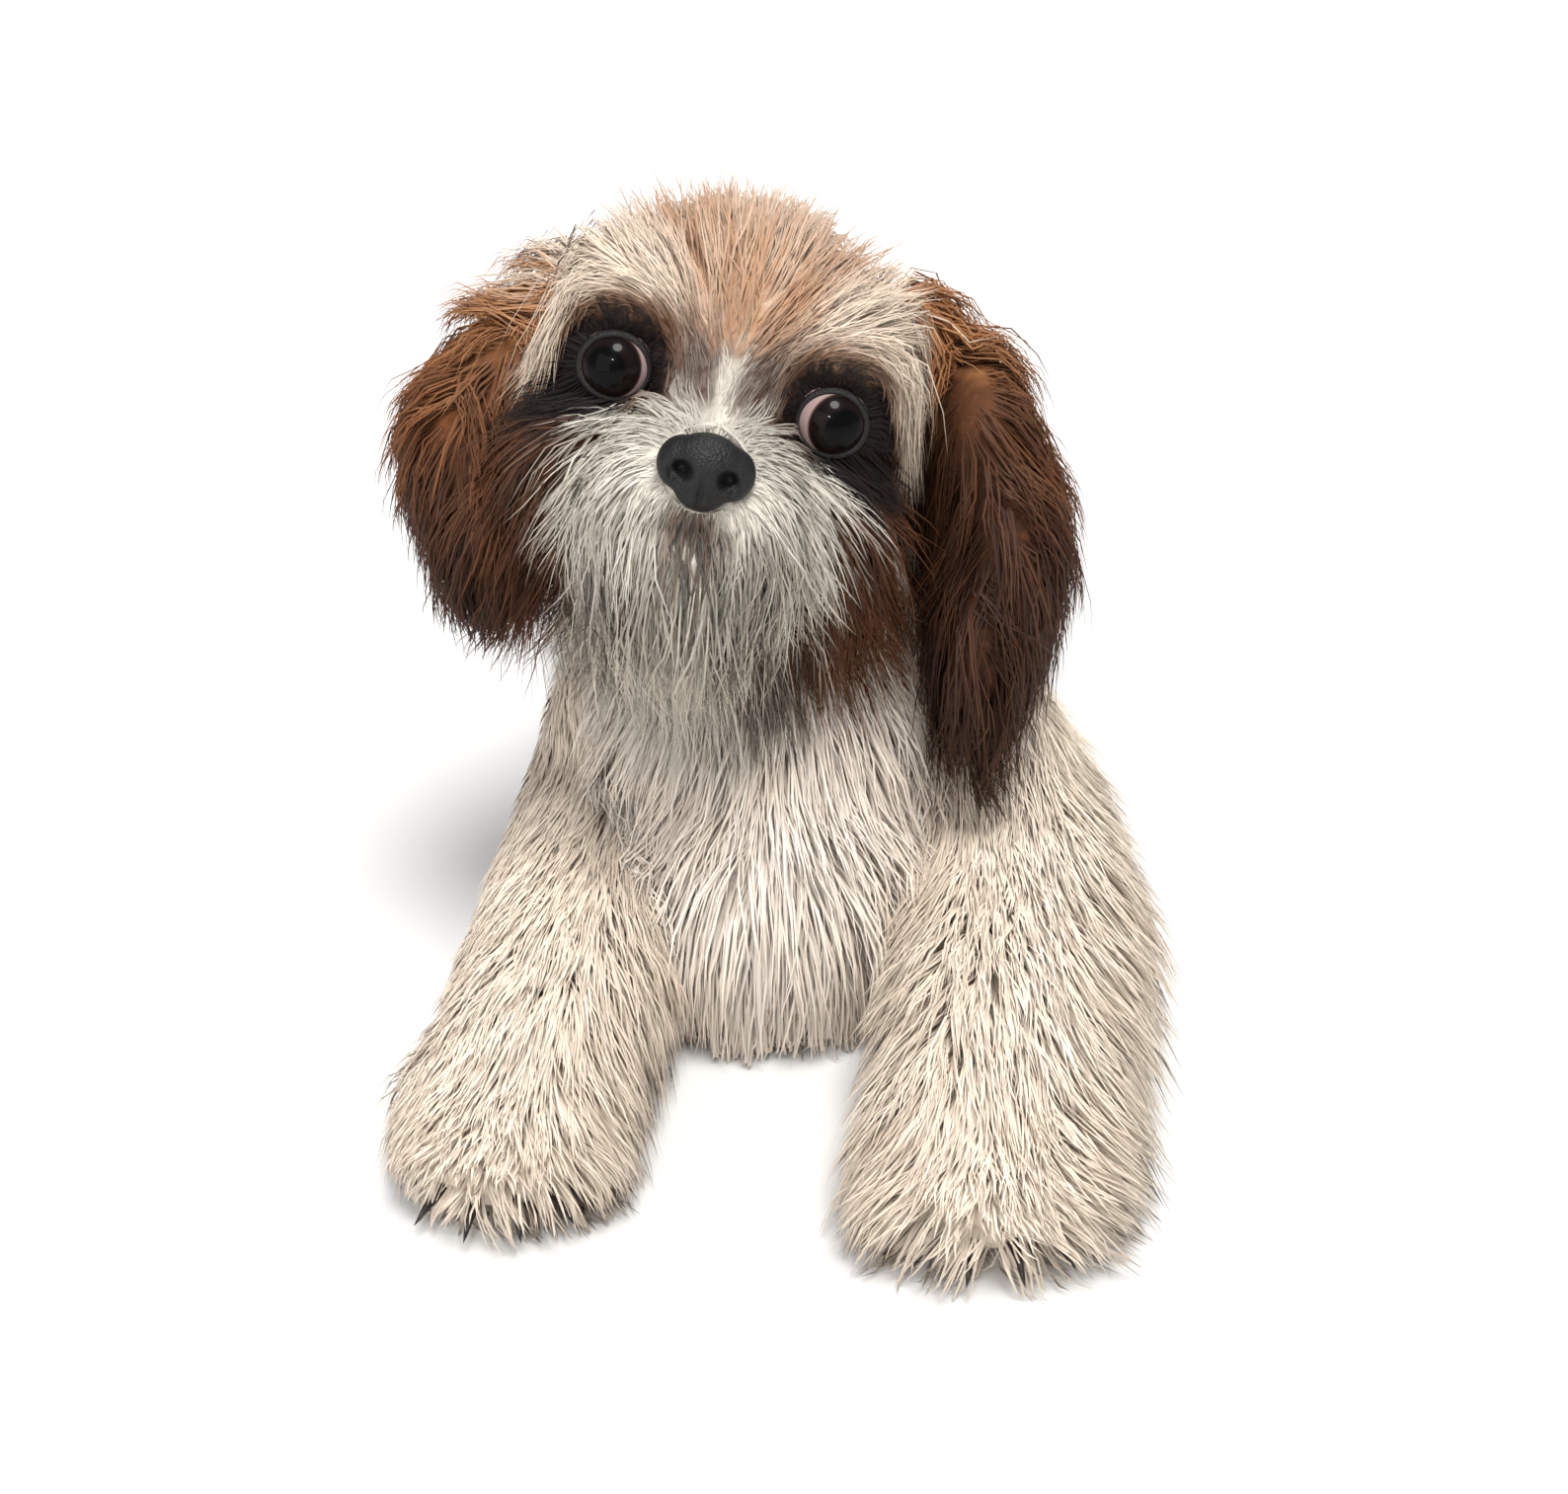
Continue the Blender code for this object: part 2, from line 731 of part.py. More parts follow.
TAIL = (
    (2.0, 20.4, 9.0),
    (2.1, 22.5, 10.2),
    (2.3, 22.5, 12.0),
    (2.9, 20.0, 12.8),
    (4.0, 17.2, 12.2),
)
TAIL_RADII = (1.4, 1.2, 1.1, 1.0, 0.8)


def make_tail(parts):
    lumps = chain(TAIL, TAIL_RADII, (COAT["tail"],) * len(TAIL))
    tail = grow("tail", lumps, parts, faces=200)
    paint(tail, "e8dfd2", 0.8)


# Each node is cut clear of those before it.
ORDER = (
    "eye_left",
    "eye_right",
    "nose",
    "head",
    "jaw",
    "ear_left",
    "ear_right",
    "neck",
    "torso",
    "forepaw_left",
    "forepaw_right",
    "foreleg_left",
    "foreleg_right",
    "hindpaw_left",
    "hindpaw_right",
    "hindleg_left",
    "hindleg_right",
    "tail",
)


def part_nodes(guides):
    """Parts the overlapping forms with thin gaps, and flattens what rests on the floor."""
    floor = floor_block(guides)
    done = []
    for name in ORDER:
        obj = bpy.data.objects[name]
        near = [other for other in done if boxes_meet(obj, other, 2 * GAP)]
        cutters = [swollen(other, GAP, guides) for other in near]
        cut_by(obj, cutters + [floor])
        for cutter in cutters:
            bpy.data.objects.remove(cutter)
        done.append(obj)
    bpy.data.objects.remove(floor)


DOWN = Vector((0.0, 0.0, -1.0))
BACK = Vector((0.0, 1.0, 0.0))


def head_lie(point, normal):
    """The face fans out from the nose, the brows fall to the sides, and the rest runs back and down."""
    spot = (HEAD.inverted() @ point) * 100
    turn = HEAD.to_3x3()
    side = 1 if spot.x > 0 else -1
    eye = Vector((side * EYE_SPACING / 2, -EYE_DEPTH, EYE_HEIGHT))
    nose = Vector(NOSE_PLACE)
    if (spot - eye).length < 1.9 or (spot - nose).length < 1.6 or spot.z < -4.2:
        return None
    if spot.y < -3.0 and spot.z < 0.6:
        fan = turn @ (spot - nose).normalized()
        if abs(spot.x) < 1.2 and spot.z > -0.8:
            return Lie(fan, 2.4, 1.0, 0.3, 1.3)
        return Lie((fan + DOWN * 0.8).normalized(), 4.6, 1.6, 0.5, 1.7, 0.3)
    if spot.y < -1.8 and 1.4 < spot.z < 3.6:
        return Lie(turn @ Vector((side * 0.85, 0.1, 0.4)), 4.2, 1.7, 0.7, 1.8, 0.9)
    if spot.z > 2.4 or spot.y > 3.0:
        crown = Vector((0.0, -5.0, 2.6))
        return Lie(turn @ (spot - crown).normalized(), 5.4, 3.4, 0.75, 2.9, 0.9)
    return Lie((DOWN + BACK * 0.2).normalized(), 5.4, 2.5, 0.6, 2.8, 0.4)


def jaw_lie(point, normal):
    """The beard hangs from the chin."""
    if normal.z > 0.3:
        return None
    return Lie((DOWN + normal * 0.25).normalized(), 4.6, 1.7, 0.5, 1.7, 0.0)


def ear_lie(point, normal):
    """The hair of the ears hangs in long straight locks that draw in towards the neck."""
    inward = Vector((-1.0 if point.x > 0 else 1.0, 0.0, 0.0))
    length = 6.0 if point.x > 0 else 4.8
    return Lie((DOWN + normal * 0.1 + inward * 0.2).normalized(), length, 2.8, 0.5, 2.6, 0.5)


def neck_lie(point, normal):
    return Lie(DOWN, 5.6, 3.3, 0.8, 3.1, 0.5)


def torso_lie(point, normal):
    """The chest hangs straight, and the back and sides run back and down."""
    if normal.z < -0.5 or point.z < cm(1.2) or point.y > cm(RUMP_END + 1.0):
        return None
    if normal.y < -0.45:
        return Lie((DOWN + normal * 0.12).normalized(), 5.8, 3.0, 0.8, 2.9, 0.5)
    side = 1 if point.x > cm(1.2) else -1
    if normal.z > 0.75:
        return Lie(Vector((side * 0.55, 0.8, 0.0)), 8.0, 4.8, 0.9, 4.3)
    return Lie(Vector((0.0, 0.45, -0.85)), 7.6, 4.6, 0.9, 4.3)


def limb_lie(axis, spread, length, width, lift, spacing):
    """The coat of a limb: along its axis, and spreading out from the line of its middle."""
    ends = [cm(*end) for end in axis]

    def lie_at(point, normal):
        if normal.z < -0.6 or point.z < cm(0.9):
            return None
        start, end = ends
        along = (end - start).normalized()
        middle = start + along * (point - start).dot(along)
        out = (point - middle).normalized()
        share = (middle - start).dot(along) / (end - start).length
        flow = (along + out * spread * share + DOWN * 0.5).normalized()
        return Lie(flow, length, width, lift * min(max(share, 0.4), 1.0), spacing, 0.6)

    return lie_at


def tail_lie(point, normal):
    """The plume falls from the tail over the left hip."""
    return Lie((DOWN * 0.8 + Vector((0.45, 0.2, 0.0))).normalized(), 6.0, 2.3, 0.7, 2.6, 0.4)


def coat_nodes(guides):
    """Grows the coat on each node, from the body outwards, so that each hangs over those before it."""
    lies = {"torso": torso_lie}
    for side, sign in SIDES:
        top = FOREPAWS[sign]
        wrist = (top[0], top[1] + 3.0, top[2] + 2.0)
        toes = (top[0], top[1] - 3.0, top[2] - 1.5)
        lies["forepaw_" + side] = limb_lie((wrist, toes), 0.8, 3.0, 2.6, 0.9, 2.2)
        legs = FORELEGS[sign]
        lies["foreleg_" + side] = limb_lie((legs[1], legs[3]), 0.45, 5.6, 3.4, 1.4, 2.9)
        hock = (sign * 6.8 + HIP_SHIFT, 18.0, 9.0)
        toe = (sign * 6.8 + HIP_SHIFT, 12.0, 2.0)
        lies["hindleg_" + side] = limb_lie((hock, toe), 0.2, 5.2, 3.2, 0.8, 3.4)
        lies["hindpaw_" + side] = limb_lie((hock, toe), 0.3, 2.4, 1.7, 0.4, 2.0)
    lies["tail"] = tail_lie
    lies["neck"] = neck_lie
    lies["jaw"] = jaw_lie
    lies["head"] = head_lie
    lies["ear_left"] = ear_lie
    lies["ear_right"] = ear_lie
    nodes = [bpy.data.objects[name] for name in ORDER]
    for name, lie_at in lies.items():
        coat(bpy.data.objects[name], lie_at, nodes, guides)


def main():
    clear_scene()
    parts = new_collection("shih_tzu")
    guides = new_collection("guides")
    make_eyes(parts)
    make_nose(parts, guides)
    make_head(parts)
    make_jaw(parts)
    make_ears(parts, guides)
    make_neck(parts)
    make_torso(parts)
    make_forelegs(parts)
    make_hindlegs(parts)
    make_tail(parts)
    part_nodes(guides)
    coat_nodes(guides)


main()
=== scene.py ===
"""A life-size shih tzu in its looks: skin, eyes, nose, mouth and claws under a full coat of hair tufts.

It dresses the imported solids. Metres, +Z up, the dog faces -Y and +X is its left side. Lengths in the
tables are in centimetres, and so are all places in the head's own frame.
"""

import math
from typing import Callable, NamedTuple

import bmesh
import bpy
import numpy as np
from mathutils import Matrix, Vector, noise
from mathutils.bvhtree import BVHTree


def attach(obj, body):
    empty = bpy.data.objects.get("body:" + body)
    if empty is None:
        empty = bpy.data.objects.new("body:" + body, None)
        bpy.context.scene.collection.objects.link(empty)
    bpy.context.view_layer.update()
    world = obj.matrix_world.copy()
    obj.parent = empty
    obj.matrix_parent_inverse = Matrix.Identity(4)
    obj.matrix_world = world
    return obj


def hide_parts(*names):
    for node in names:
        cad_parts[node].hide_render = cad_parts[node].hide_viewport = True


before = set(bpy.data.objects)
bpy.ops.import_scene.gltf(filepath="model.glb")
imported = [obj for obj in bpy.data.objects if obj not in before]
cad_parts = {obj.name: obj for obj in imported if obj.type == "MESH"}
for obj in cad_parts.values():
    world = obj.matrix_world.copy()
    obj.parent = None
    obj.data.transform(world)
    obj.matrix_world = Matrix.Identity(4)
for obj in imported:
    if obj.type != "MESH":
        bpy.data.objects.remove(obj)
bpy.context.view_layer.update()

SEED = 11
SIDES = (("left", 1.0), ("right", -1.0))

# The photograph's camera: its place, how far it looks down, and its lens on a 36 mm sensor.
CAMERA_PLACE = (0.0, -0.7995, 0.4997)
CAMERA_DOWN = 30.0
CAMERA_LENS = 57.13

# The studio: the floor, the place that every lamp points to, and each area lamp's place, size and power.
FLOOR_REACH = 30.0
FLOOR_COLOUR = "dcdbd9"
LIT_PLACE = (0.0, -0.05, 0.12)
AREA_LAMPS = (
    ("fill", (-0.9, -1.2, 0.7), 1.2, 5.0),
    ("rim", (0.3, 1.2, 1.1), 0.9, 6.0),
    ("catchlight", (-0.15, -1.0, 0.8), 0.04, 2.0),
)

# The head's own frame: +X to the dog's left, -Y out of the face, +Z through the crown.
HEAD_PLACE = (-1.9, -7.8, 21.1)
HEAD_PITCH = 13.0
HEAD_ROLL = 14.8
EYE_SPACING = 6.5
EYE_RADIUS = 1.1
EYE_DEPTH = 4.35
EYE_HEIGHT = 0.6
EYE_TURN = {1.0: 21.0, -1.0: 14.0}
NOSE_PLACE = (0.0, -7.5, -1.15)
NOSE_WIDTH = 2.8

# In metres: how low a hair and the skin come, how deep a hair's root sits in the skin, and the skin's voxels.
FLOOR_CLEARANCE = 0.0015
SKIN_CLEARANCE = 0.0004
ROOT_DEPTH = 0.0006
SKIN_VOXEL = 0.0028

# The width of one tuft's patch on the coat's bake map.
BAKE_PATCH = 0.003

# The steps of a clump's middle line, and how much a tuft's outlook counts beside its place, in centimetres,
# when it picks its clump.
GUIDE_STEPS = 8
OUTLOOK = 1.5

COLOURS = {
    "white": "f4ebe1",
    "cream": "f6e2cb",
    "brow": "e9d6c0",
    "beard": "e4dccd",
    "forehead": "b98d6c",
    "gold": "bb8556",
    "rust": "84512f",
    "chestnut": "5a3823",
    "dark_brown": "33211a",
    "black_brown": "1b1310",
    "grey": "6f6862",
}


def linear(colour):
    """A hex colour in sRGB as linear red, green and blue."""
    channels = [int(colour[n : n + 2], 16) / 255 for n in (0, 2, 4)]
    return tuple(c / 12.92 if c < 0.04045 else ((c + 0.055) / 1.055) ** 2.4 for c in channels)


def head_frame():
    """The head's place and tilt: muzzle raised, left side lowered."""
    turn = Matrix.Rotation(math.radians(-HEAD_PITCH), 4, "X")
    tilt = Matrix.Rotation(math.radians(HEAD_ROLL), 4, "Y")
    return Matrix.Translation(Vector(HEAD_PLACE) * 0.01) @ turn @ tilt


HEAD = head_frame()
WORLD = Matrix.Identity(4)
HEAD_TURN = np.array(HEAD.to_3x3())
HEAD_CENTRE = np.array(HEAD.translation)
DOWN = np.array((0.0, 0.0, -1.0))
BACK = np.array((0.0, 1.0, 0.0))


def to_head(points):
    """Points of the dog in the head's frame, in centimetres."""
    return (points - HEAD_CENTRE) @ HEAD_TURN * 100


def from_head(places):
    return places * 0.01 @ HEAD_TURN.T + HEAD_CENTRE


def turned_from_head(directions):
    return directions @ HEAD_TURN.T


def unit(vectors):
    return vectors / np.maximum(np.linalg.norm(vectors, axis=-1, keepdims=True), 1e-9)


def smooth(values, low, high):
    """From 0 at low to 1 at high, easing in and out."""
    t = np.clip((values - low) / (high - low), 0.0, 1.0)
    return t * t * (3 - 2 * t)


def mix(a, b, share):
    share = np.asarray(share)[..., None]
    return a * (1 - share) + b * share


def chain(points, radii, beads=6):
    """Round lumps along a path, as a limb's or a tail's flesh."""
    lumps = []
    stops = list(zip(points, radii))
    for (a, radius_a), (b, radius_b) in zip(stops, stops[1:]):
        for n in range(beads):
            share = n / beads
            radius = radius_a + (radius_b - radius_a) * share
            lumps.append((tuple(Vector(a).lerp(Vector(b), share)), (radius,) * 3))
    lumps.append((points[-1], (radii[-1],) * 3))
    return lumps


def head_lumps():
    """The skull, the short muzzle, and on each side the cheek, brow, lip and eye socket."""
    lumps = [
        ((0.0, 0.5, 0.5), (5.0, 5.2, 4.5)),
        ((0.0, -5.0, -1.7), (2.7, 2.0, 2.0)),
        ((0.0, -3.6, 0.2), (2.4, 2.2, 2.6)),
    ]
    for _, sign in SIDES:
        lumps += [
            ((sign * 3.4, -2.0, -2.1), (2.1, 2.9, 2.4)),
            ((sign * 3.2, -3.4, 2.3), (2.0, 1.6, 1.3)),
            ((sign * 1.3, -6.0, -2.3), (1.5, 1.3, 1.4)),
            ((sign * 3.3, -3.5, 0.6), (1.9, 1.3, 1.8)),
        ]
    return lumps


# The flesh without its coat, as overlapping ellipsoids: places and half sizes.
JAW = [
    ((0.0, -5.1, -4.1), (2.0, 2.0, 1.2)),
    ((0.0, -3.0, -4.2), (2.6, 2.2, 1.4)),
]
EARS = {
    1.0: [
        ((3.9, -6.0, 21.9), (1.5, 2.3, 1.7)),
        ((6.0, -7.4, 19.2), (1.4, 2.9, 2.6)),
        ((6.9, -8.8, 16.2), (1.4, 3.1, 3.0)),
        ((6.2, -10.0, 13.8), (1.1, 2.5, 2.3)),
    ],
    -1.0: [
        ((-6.9, -5.4, 22.6), (1.5, 2.2, 1.4)),
        ((-8.6, -6.4, 21.0), (1.9, 2.7, 1.8)),
        ((-9.9, -7.6, 19.2), (1.6, 2.9, 2.2)),
        ((-9.4, -8.8, 17.2), (1.1, 2.5, 2.0)),
    ],
}
NECK = ((-0.6, -3.6, 11.0), (-1.0, -4.6, 14.5), (-1.5, -5.4, 18.5))
NECK_RADII = (5.0, 4.7, 4.3)
TORSO = [
    ((-0.5, -5.8, 6.6), (5.8, 5.4, 6.2)),
    ((-0.4, -9.2, 3.5), (4.7, 4.6, 4.5)),
    ((0.3, 1.5, 7.4), (6.6, 7.5, 7.4)),
    ((1.1, 9.5, 6.9), (6.3, 7.0, 6.6)),
    ((2.0, 15.8, 6.5), (6.6, 6.0, 6.5)),
]
FORELEGS = {
    1.0: ((4.2, -5.2, 8.6), (6.4, -5.0, 4.8), (7.7, -11.0, 3.3), (6.8, -17.0, 2.7), (6.3, -20.4, 2.2)),
    -1.0: ((-4.6, -4.8, 8.6), (-5.6, -4.6, 4.8), (-6.9, -9.5, 3.2), (-7.6, -14.8, 2.6), (-8.4, -18.5, 2.2)),
}
FORELEG_RADII = (3.0, 3.1, 2.9, 2.6, 2.3)
FOREPAWS = {1.0: (6.1, -21.2, 1.8), -1.0: (-8.6, -19.3, 1.8)}
PAW_RADII = (2.9, 3.4, 2.1)
HIND_PAW_RADII = (1.9, 3.4, 1.4)
CLAW_TURNS = (-36.0, -12.0, 12.0, 36.0)
CLAW_RINGS = 6
CLAW_SIDES = 8
HIP_SHIFT = 1.0
TAIL = ((2.0, 20.4, 9.0), (2.1, 22.5, 10.2), (2.3, 22.5, 12.0), (2.9, 20.0, 12.8), (4.0, 17.2, 12.2))
TAIL_RADII = (1.4, 1.2, 1.1, 1.0, 0.8)


def hind_paw(sign):
    return (sign * 6.5 + HIP_SHIFT * 0.6, 11.3, 1.5)


def flesh():
    """Every part of the body by name: its lumps and the frame that they are in."""
    parts = {"head": (head_lumps(), HEAD), "jaw": (JAW, HEAD)}
    parts["neck"] = (chain(NECK, NECK_RADII), WORLD)
    parts["torso"] = (TORSO, WORLD)
    parts["tail"] = (chain(TAIL, TAIL_RADII), WORLD)
    for side, sign in SIDES:
        parts["ear_" + side] = (EARS[sign], WORLD)
        parts["foreleg_" + side] = (chain(FORELEGS[sign], FORELEG_RADII), WORLD)
        parts["forepaw_" + side] = ([(FOREPAWS[sign], PAW_RADII)], WORLD)
        parts["hindleg_" + side] = (
            [
                ((sign * 5.2 + HIP_SHIFT, 15.5, 6.4), (3.0, 5.2, 4.8)),
                ((sign * 6.8 + HIP_SHIFT, 13.0, 4.3), (2.4, 3.4, 3.2)),
                ((sign * 6.6 + HIP_SHIFT, 16.5, 2.4), (1.8, 4.6, 2.0)),
            ],
            WORLD,
        )
        parts["hindpaw_" + side] = ([(hind_paw(sign), HIND_PAW_RADII)], WORLD)
    return parts


PARTS = flesh()


def settle(obj):
    """Applies every modifier, so that the mesh holds the finished shape."""
    graph = bpy.context.evaluated_depsgraph_get()
    finished = bpy.data.meshes.new_from_object(obj.evaluated_get(graph))
    plain = obj.data
    obj.modifiers.clear()
    obj.data = finished
    bpy.data.meshes.remove(plain)


def new_object(name, mesh):
    obj = bpy.data.objects.new(name, mesh)
    bpy.context.scene.collection.objects.link(obj)
    return obj


def mesh_of(form, name):
    bmesh.ops.recalc_face_normals(form, faces=form.faces)
    mesh = bpy.data.meshes.new(name)
    form.to_mesh(mesh)
    form.free()
    return mesh


def ellipsoids(name, parts, segments=32):
    """A mesh of ellipsoids, one for each lump of the parts."""
    form = bmesh.new()
    bmesh.ops.create_uvsphere(form, u_segments=segments, v_segments=segments // 2, radius=1.0)
    ball = np.array([vert.co for vert in form.verts])
    pattern = [[vert.index for vert in face.verts] for face in form.faces]
    form.free()
    points = []
    faces = []
    for lumps, place in parts:
        for centre, radii in lumps:
            first = len(points) * len(ball)
            faces += [[first + n for n in face] for face in pattern]
            local = (ball * radii + centre) * 0.01
            points.append(local @ np.array(place.to_3x3()).T + np.array(place.translation))
    mesh = bpy.data.meshes.new(name)
    mesh.from_pydata(np.concatenate(points).tolist(), [], faces)
    return mesh


def grow(name, parts, voxel, rounds):
    """One smooth closed form over overlapping ellipsoids."""
    obj = new_object(name, ellipsoids(name, parts))
    remesh = obj.modifiers.new("Remesh", "REMESH")
    remesh.mode = "VOXEL"
    remesh.voxel_size = voxel
    soften = obj.modifiers.new("Smooth", "SMOOTH")
    soften.iterations = rounds
    settle(obj)
    obj.data.shade_smooth()
    return obj


def vertices_of(mesh):
    points = np.empty(len(mesh.vertices) * 3, np.float32)
    mesh.vertices.foreach_get("co", points)
    return points.reshape(-1, 3).astype(float)


def move_vertices(mesh, points):
    mesh.vertices.foreach_set("co", points.astype(np.float32).ravel())
    mesh.update()


def part_names(points):
    """The name of the body part that each point lies on."""
    names = list(PARTS)
    near = []
    for name in names:
        lumps, place = PARTS[name]
        turn = np.array(place.to_3x3())
        local = (points - np.array(place.translation)) @ turn * 100
        distance = np.full(len(points), np.inf)
        for centre, radii in lumps:
            scaled = np.linalg.norm((local - np.array(centre)) / np.array(radii), axis=1)
            distance = np.minimum(distance, (scaled - 1.0) * min(radii))
        near.append(distance)
    return np.array(names)[np.argmin(np.array(near), axis=0)]


def rough(points, size, seed=0.0):
    """Smooth random numbers from -1 to 1 that change over about this many centimetres."""
    scale = 100 / size
    shift = Vector((seed, seed * 2, 0.0))
    return np.array([noise.noise(Vector(point) * scale + shift) for point in points])


def head_markings_and_painted_shade(points, shade, patchy, fine, streak):
    """Tan forehead, cream brows, dark sockets, brown cheeks, a white muzzle and blaze, with painted shade in
    the sockets, on the bridge, on the muzzle's top and under the nose.
    """
    x, y, z = to_head(points).T
    wide = np.abs(x)
    from_eye = np.hypot(wide - EYE_SPACING / 2, z - EYE_HEIGHT)
    above = smooth(z - EYE_HEIGHT, -0.6, 0.6)

    colour = mix(shade["forehead"], shade["brow"], smooth(patchy + streak * 0.5, -0.2, 0.6) * 0.5)
    colour = mix(colour, shade["brow"], smooth(z + fine, 3.4, 5.2) * 0.7)
    top = smooth(y + patchy, -1.5, 2.0)
    colour = mix(colour, shade["gold"], top * 0.6)
    colour = mix(colour, shade["grey"], top * smooth(streak + fine * 0.5, 0.0, 0.35) * 0.75)
    outer = smooth(wide + fine * 0.6 + 1.2 * smooth(z, 2.5, 4.5), 3.8, 5.2)
    colour = mix(colour, mix(shade["gold"], shade["rust"], 0.6 + streak), outer * 0.9)
    cheek = smooth(-z + fine * 0.4, -0.9, 0.3) * smooth(wide, 1.6, 2.4)
    brown = mix(shade["chestnut"], shade["dark_brown"], smooth(streak, -0.4, 0.5))
    colour = mix(colour, mix(brown, shade["rust"], 0.15 + smooth(wide, 3.9, 5.0) * 0.4), cheek)
    brow = smooth(from_eye, 1.75, 2.2) * smooth(-from_eye, -3.5, -2.8) * above * smooth(wide, 0.9, 2.0)
    colour = mix(colour, shade["brow"], brow * 0.9)
    # Dark fur round each eye, chestnut and then black-brown nearer the eye, made deeper by painted shade of
    # the deep-set sockets.
    ahead = smooth(-y, 1.0, 2.5)
    colour = mix(colour, shade["chestnut"], smooth(-from_eye - fine * 0.2, -2.35, -1.75) * 0.75 * ahead)
    colour = mix(colour, shade["black_brown"], smooth(-from_eye - fine * 0.2, -1.95, -1.35) * ahead)
    bridge = smooth(-wide, -1.9, -1.1) * smooth(-z, -2.6, -1.4) * smooth(-y, 2.5, 3.5)
    shadow = mix(shade["grey"], shade["dark_brown"], smooth(streak, -0.3, 0.3))
    colour = mix(colour, shadow, bridge * 0.9)
    muzzle = smooth(-y, 3.6, 4.3) * smooth(-z + fine * 0.2, 0.0, 0.6)
    muzzle = muzzle * smooth(-wide + fine * 0.3, -3.0, -2.3)
    muzzle = np.maximum(muzzle, smooth(-y, 5.2, 5.8) * smooth(-z, -0.6, 0.0))
    # Painted shade: the pale muzzle is greyed along its top, from the nose up towards the eyes. The grey
    # streaks beside it are the coat's own.
    over = smooth(z, -2.0, -0.6) * smooth(-wide, -2.2, -1.2)
    pale = mix(shade["beard"], shade["grey"], smooth(streak, 0.1, 0.5) * 0.55 * (1 - over) + over * 0.45)
    colour = mix(colour, pale, muzzle)
    fringe = smooth(wide + fine * 0.6, 1.0, 1.8) * smooth(-z, 2.4, 3.2) * smooth(streak, -0.25, 0.15)
    colour = mix(colour, shade["dark_brown"], fringe * muzzle * 0.8)
    blaze = smooth(-wide - fine * 0.2, -0.45, -0.1) * smooth(-y, 2.5, 3.5) * smooth(-z, -2.2, -1.2)
    colour = mix(colour, shade["beard"], blaze * (0.75 - 0.4 * smooth(streak, 0.0, 0.4)))
    # Dark hair along the mouth line, deepened as painted shade in the groove under the nose.
    groove = smooth(-wide, -1.3, -0.4) * smooth(-z, 2.0, 2.5) * smooth(-y, 4.6, 5.6)
    under = mix(shade["chestnut"], shade["black_brown"], smooth(streak, -0.3, 0.3))
    return mix(colour, under, groove * 0.85)


def markings_and_painted_shade(points, names):
    """The colour of the coat, and of the skin under it, at each place of the body, with the painted shade on
    the head.
    """
    shade = {name: np.array(linear(value)) for name, value in COLOURS.items()}
    wide = np.abs(to_head(points)[:, 0])
    patchy = rough(points, 1.2)
    fine = rough(points, 0.35, 7.0)
    streak = rough(points, 0.18, 3.0)
    x, y, z = (points * 100).T

    colour = mix(shade["white"], shade["cream"], 0.5 + 0.4 * patchy)
    legs = np.char.startswith(names, "fore")
    colour = mix(colour, shade["cream"], legs * 0.7)
    saddle = smooth(y + patchy * 1.5, 2.0, 6.0) * smooth(z, 7.0, 10.5)
    colour = mix(colour, mix(shade["gold"], shade["rust"], 0.5 + 0.5 * fine), saddle)

    beard = mix(shade["beard"], shade["grey"], smooth(streak, 0.0, 0.4) * 0.5)
    dark = smooth(wide + fine * 0.7, 0.9, 1.6) * smooth(streak, -0.45, 0.0) * 0.9
    beard = mix(beard, shade["dark_brown"], dark)
    beard = mix(beard, shade["rust"], smooth(wide + fine * 0.4, 2.2, 3.0) * 0.6)
    low = smooth(-z + patchy * 2 + (x < 0) * 0.8, -22.0, -18.0)
    edge = np.abs(x - np.where(x > 0, 2.0, -4.0))
    ear = mix(shade["chestnut"], shade["rust"], smooth(edge + streak * 2, 4.2, 6.0) * 0.8)
    root = mix(shade["rust"], shade["gold"], smooth(streak, -0.4, 0.4) * 0.7)
    ear = mix(root, ear, smooth(-z + patchy, -23.2, -20.8))
    ear = mix(ear, mix(shade["dark_brown"], shade["chestnut"], smooth(streak, -0.2, 0.5) * 0.8), low * 0.85)
    plume = smooth(-y, -22.0, -19.0)
    for name, own in (
        ("head", head_markings_and_painted_shade(points, shade, patchy, fine, streak)),
        ("jaw", beard),
        ("ear_left", ear),
        ("ear_right", ear),
        ("tail", mix(shade["chestnut"], shade["white"], plume)),
    ):
        colour = np.where((names == name)[:, None], own, colour)
    return colour


class Surface(NamedTuple):
    """The skin's triangles as arrays, with what is asked of them when the coat is grown."""

    corners: np.ndarray
    normals: np.ndarray
    areas: np.ndarray
    centres: np.ndarray
    names: np.ndarray


def surface_of(obj):
    mesh = obj.data
    points = vertices_of(mesh)
    mesh.calc_loop_triangles()
    triangles = np.empty(len(mesh.loop_triangles) * 3, np.int32)
    mesh.loop_triangles.foreach_get("vertices", triangles)
    triangles = triangles.reshape(-1, 3)
    corners = points[triangles]
    cross = np.cross(corners[:, 1] - corners[:, 0], corners[:, 2] - corners[:, 0])
    areas = np.linalg.norm(cross, axis=1) / 2
    normals = np.empty(len(points) * 3, np.float32)
    mesh.vertices.foreach_get("normal", normals)
    normals = normals.reshape(-1, 3)[triangles].astype(float)
    centres = corners.mean(axis=1)
    return Surface(corners, normals, areas, centres, part_names(centres))


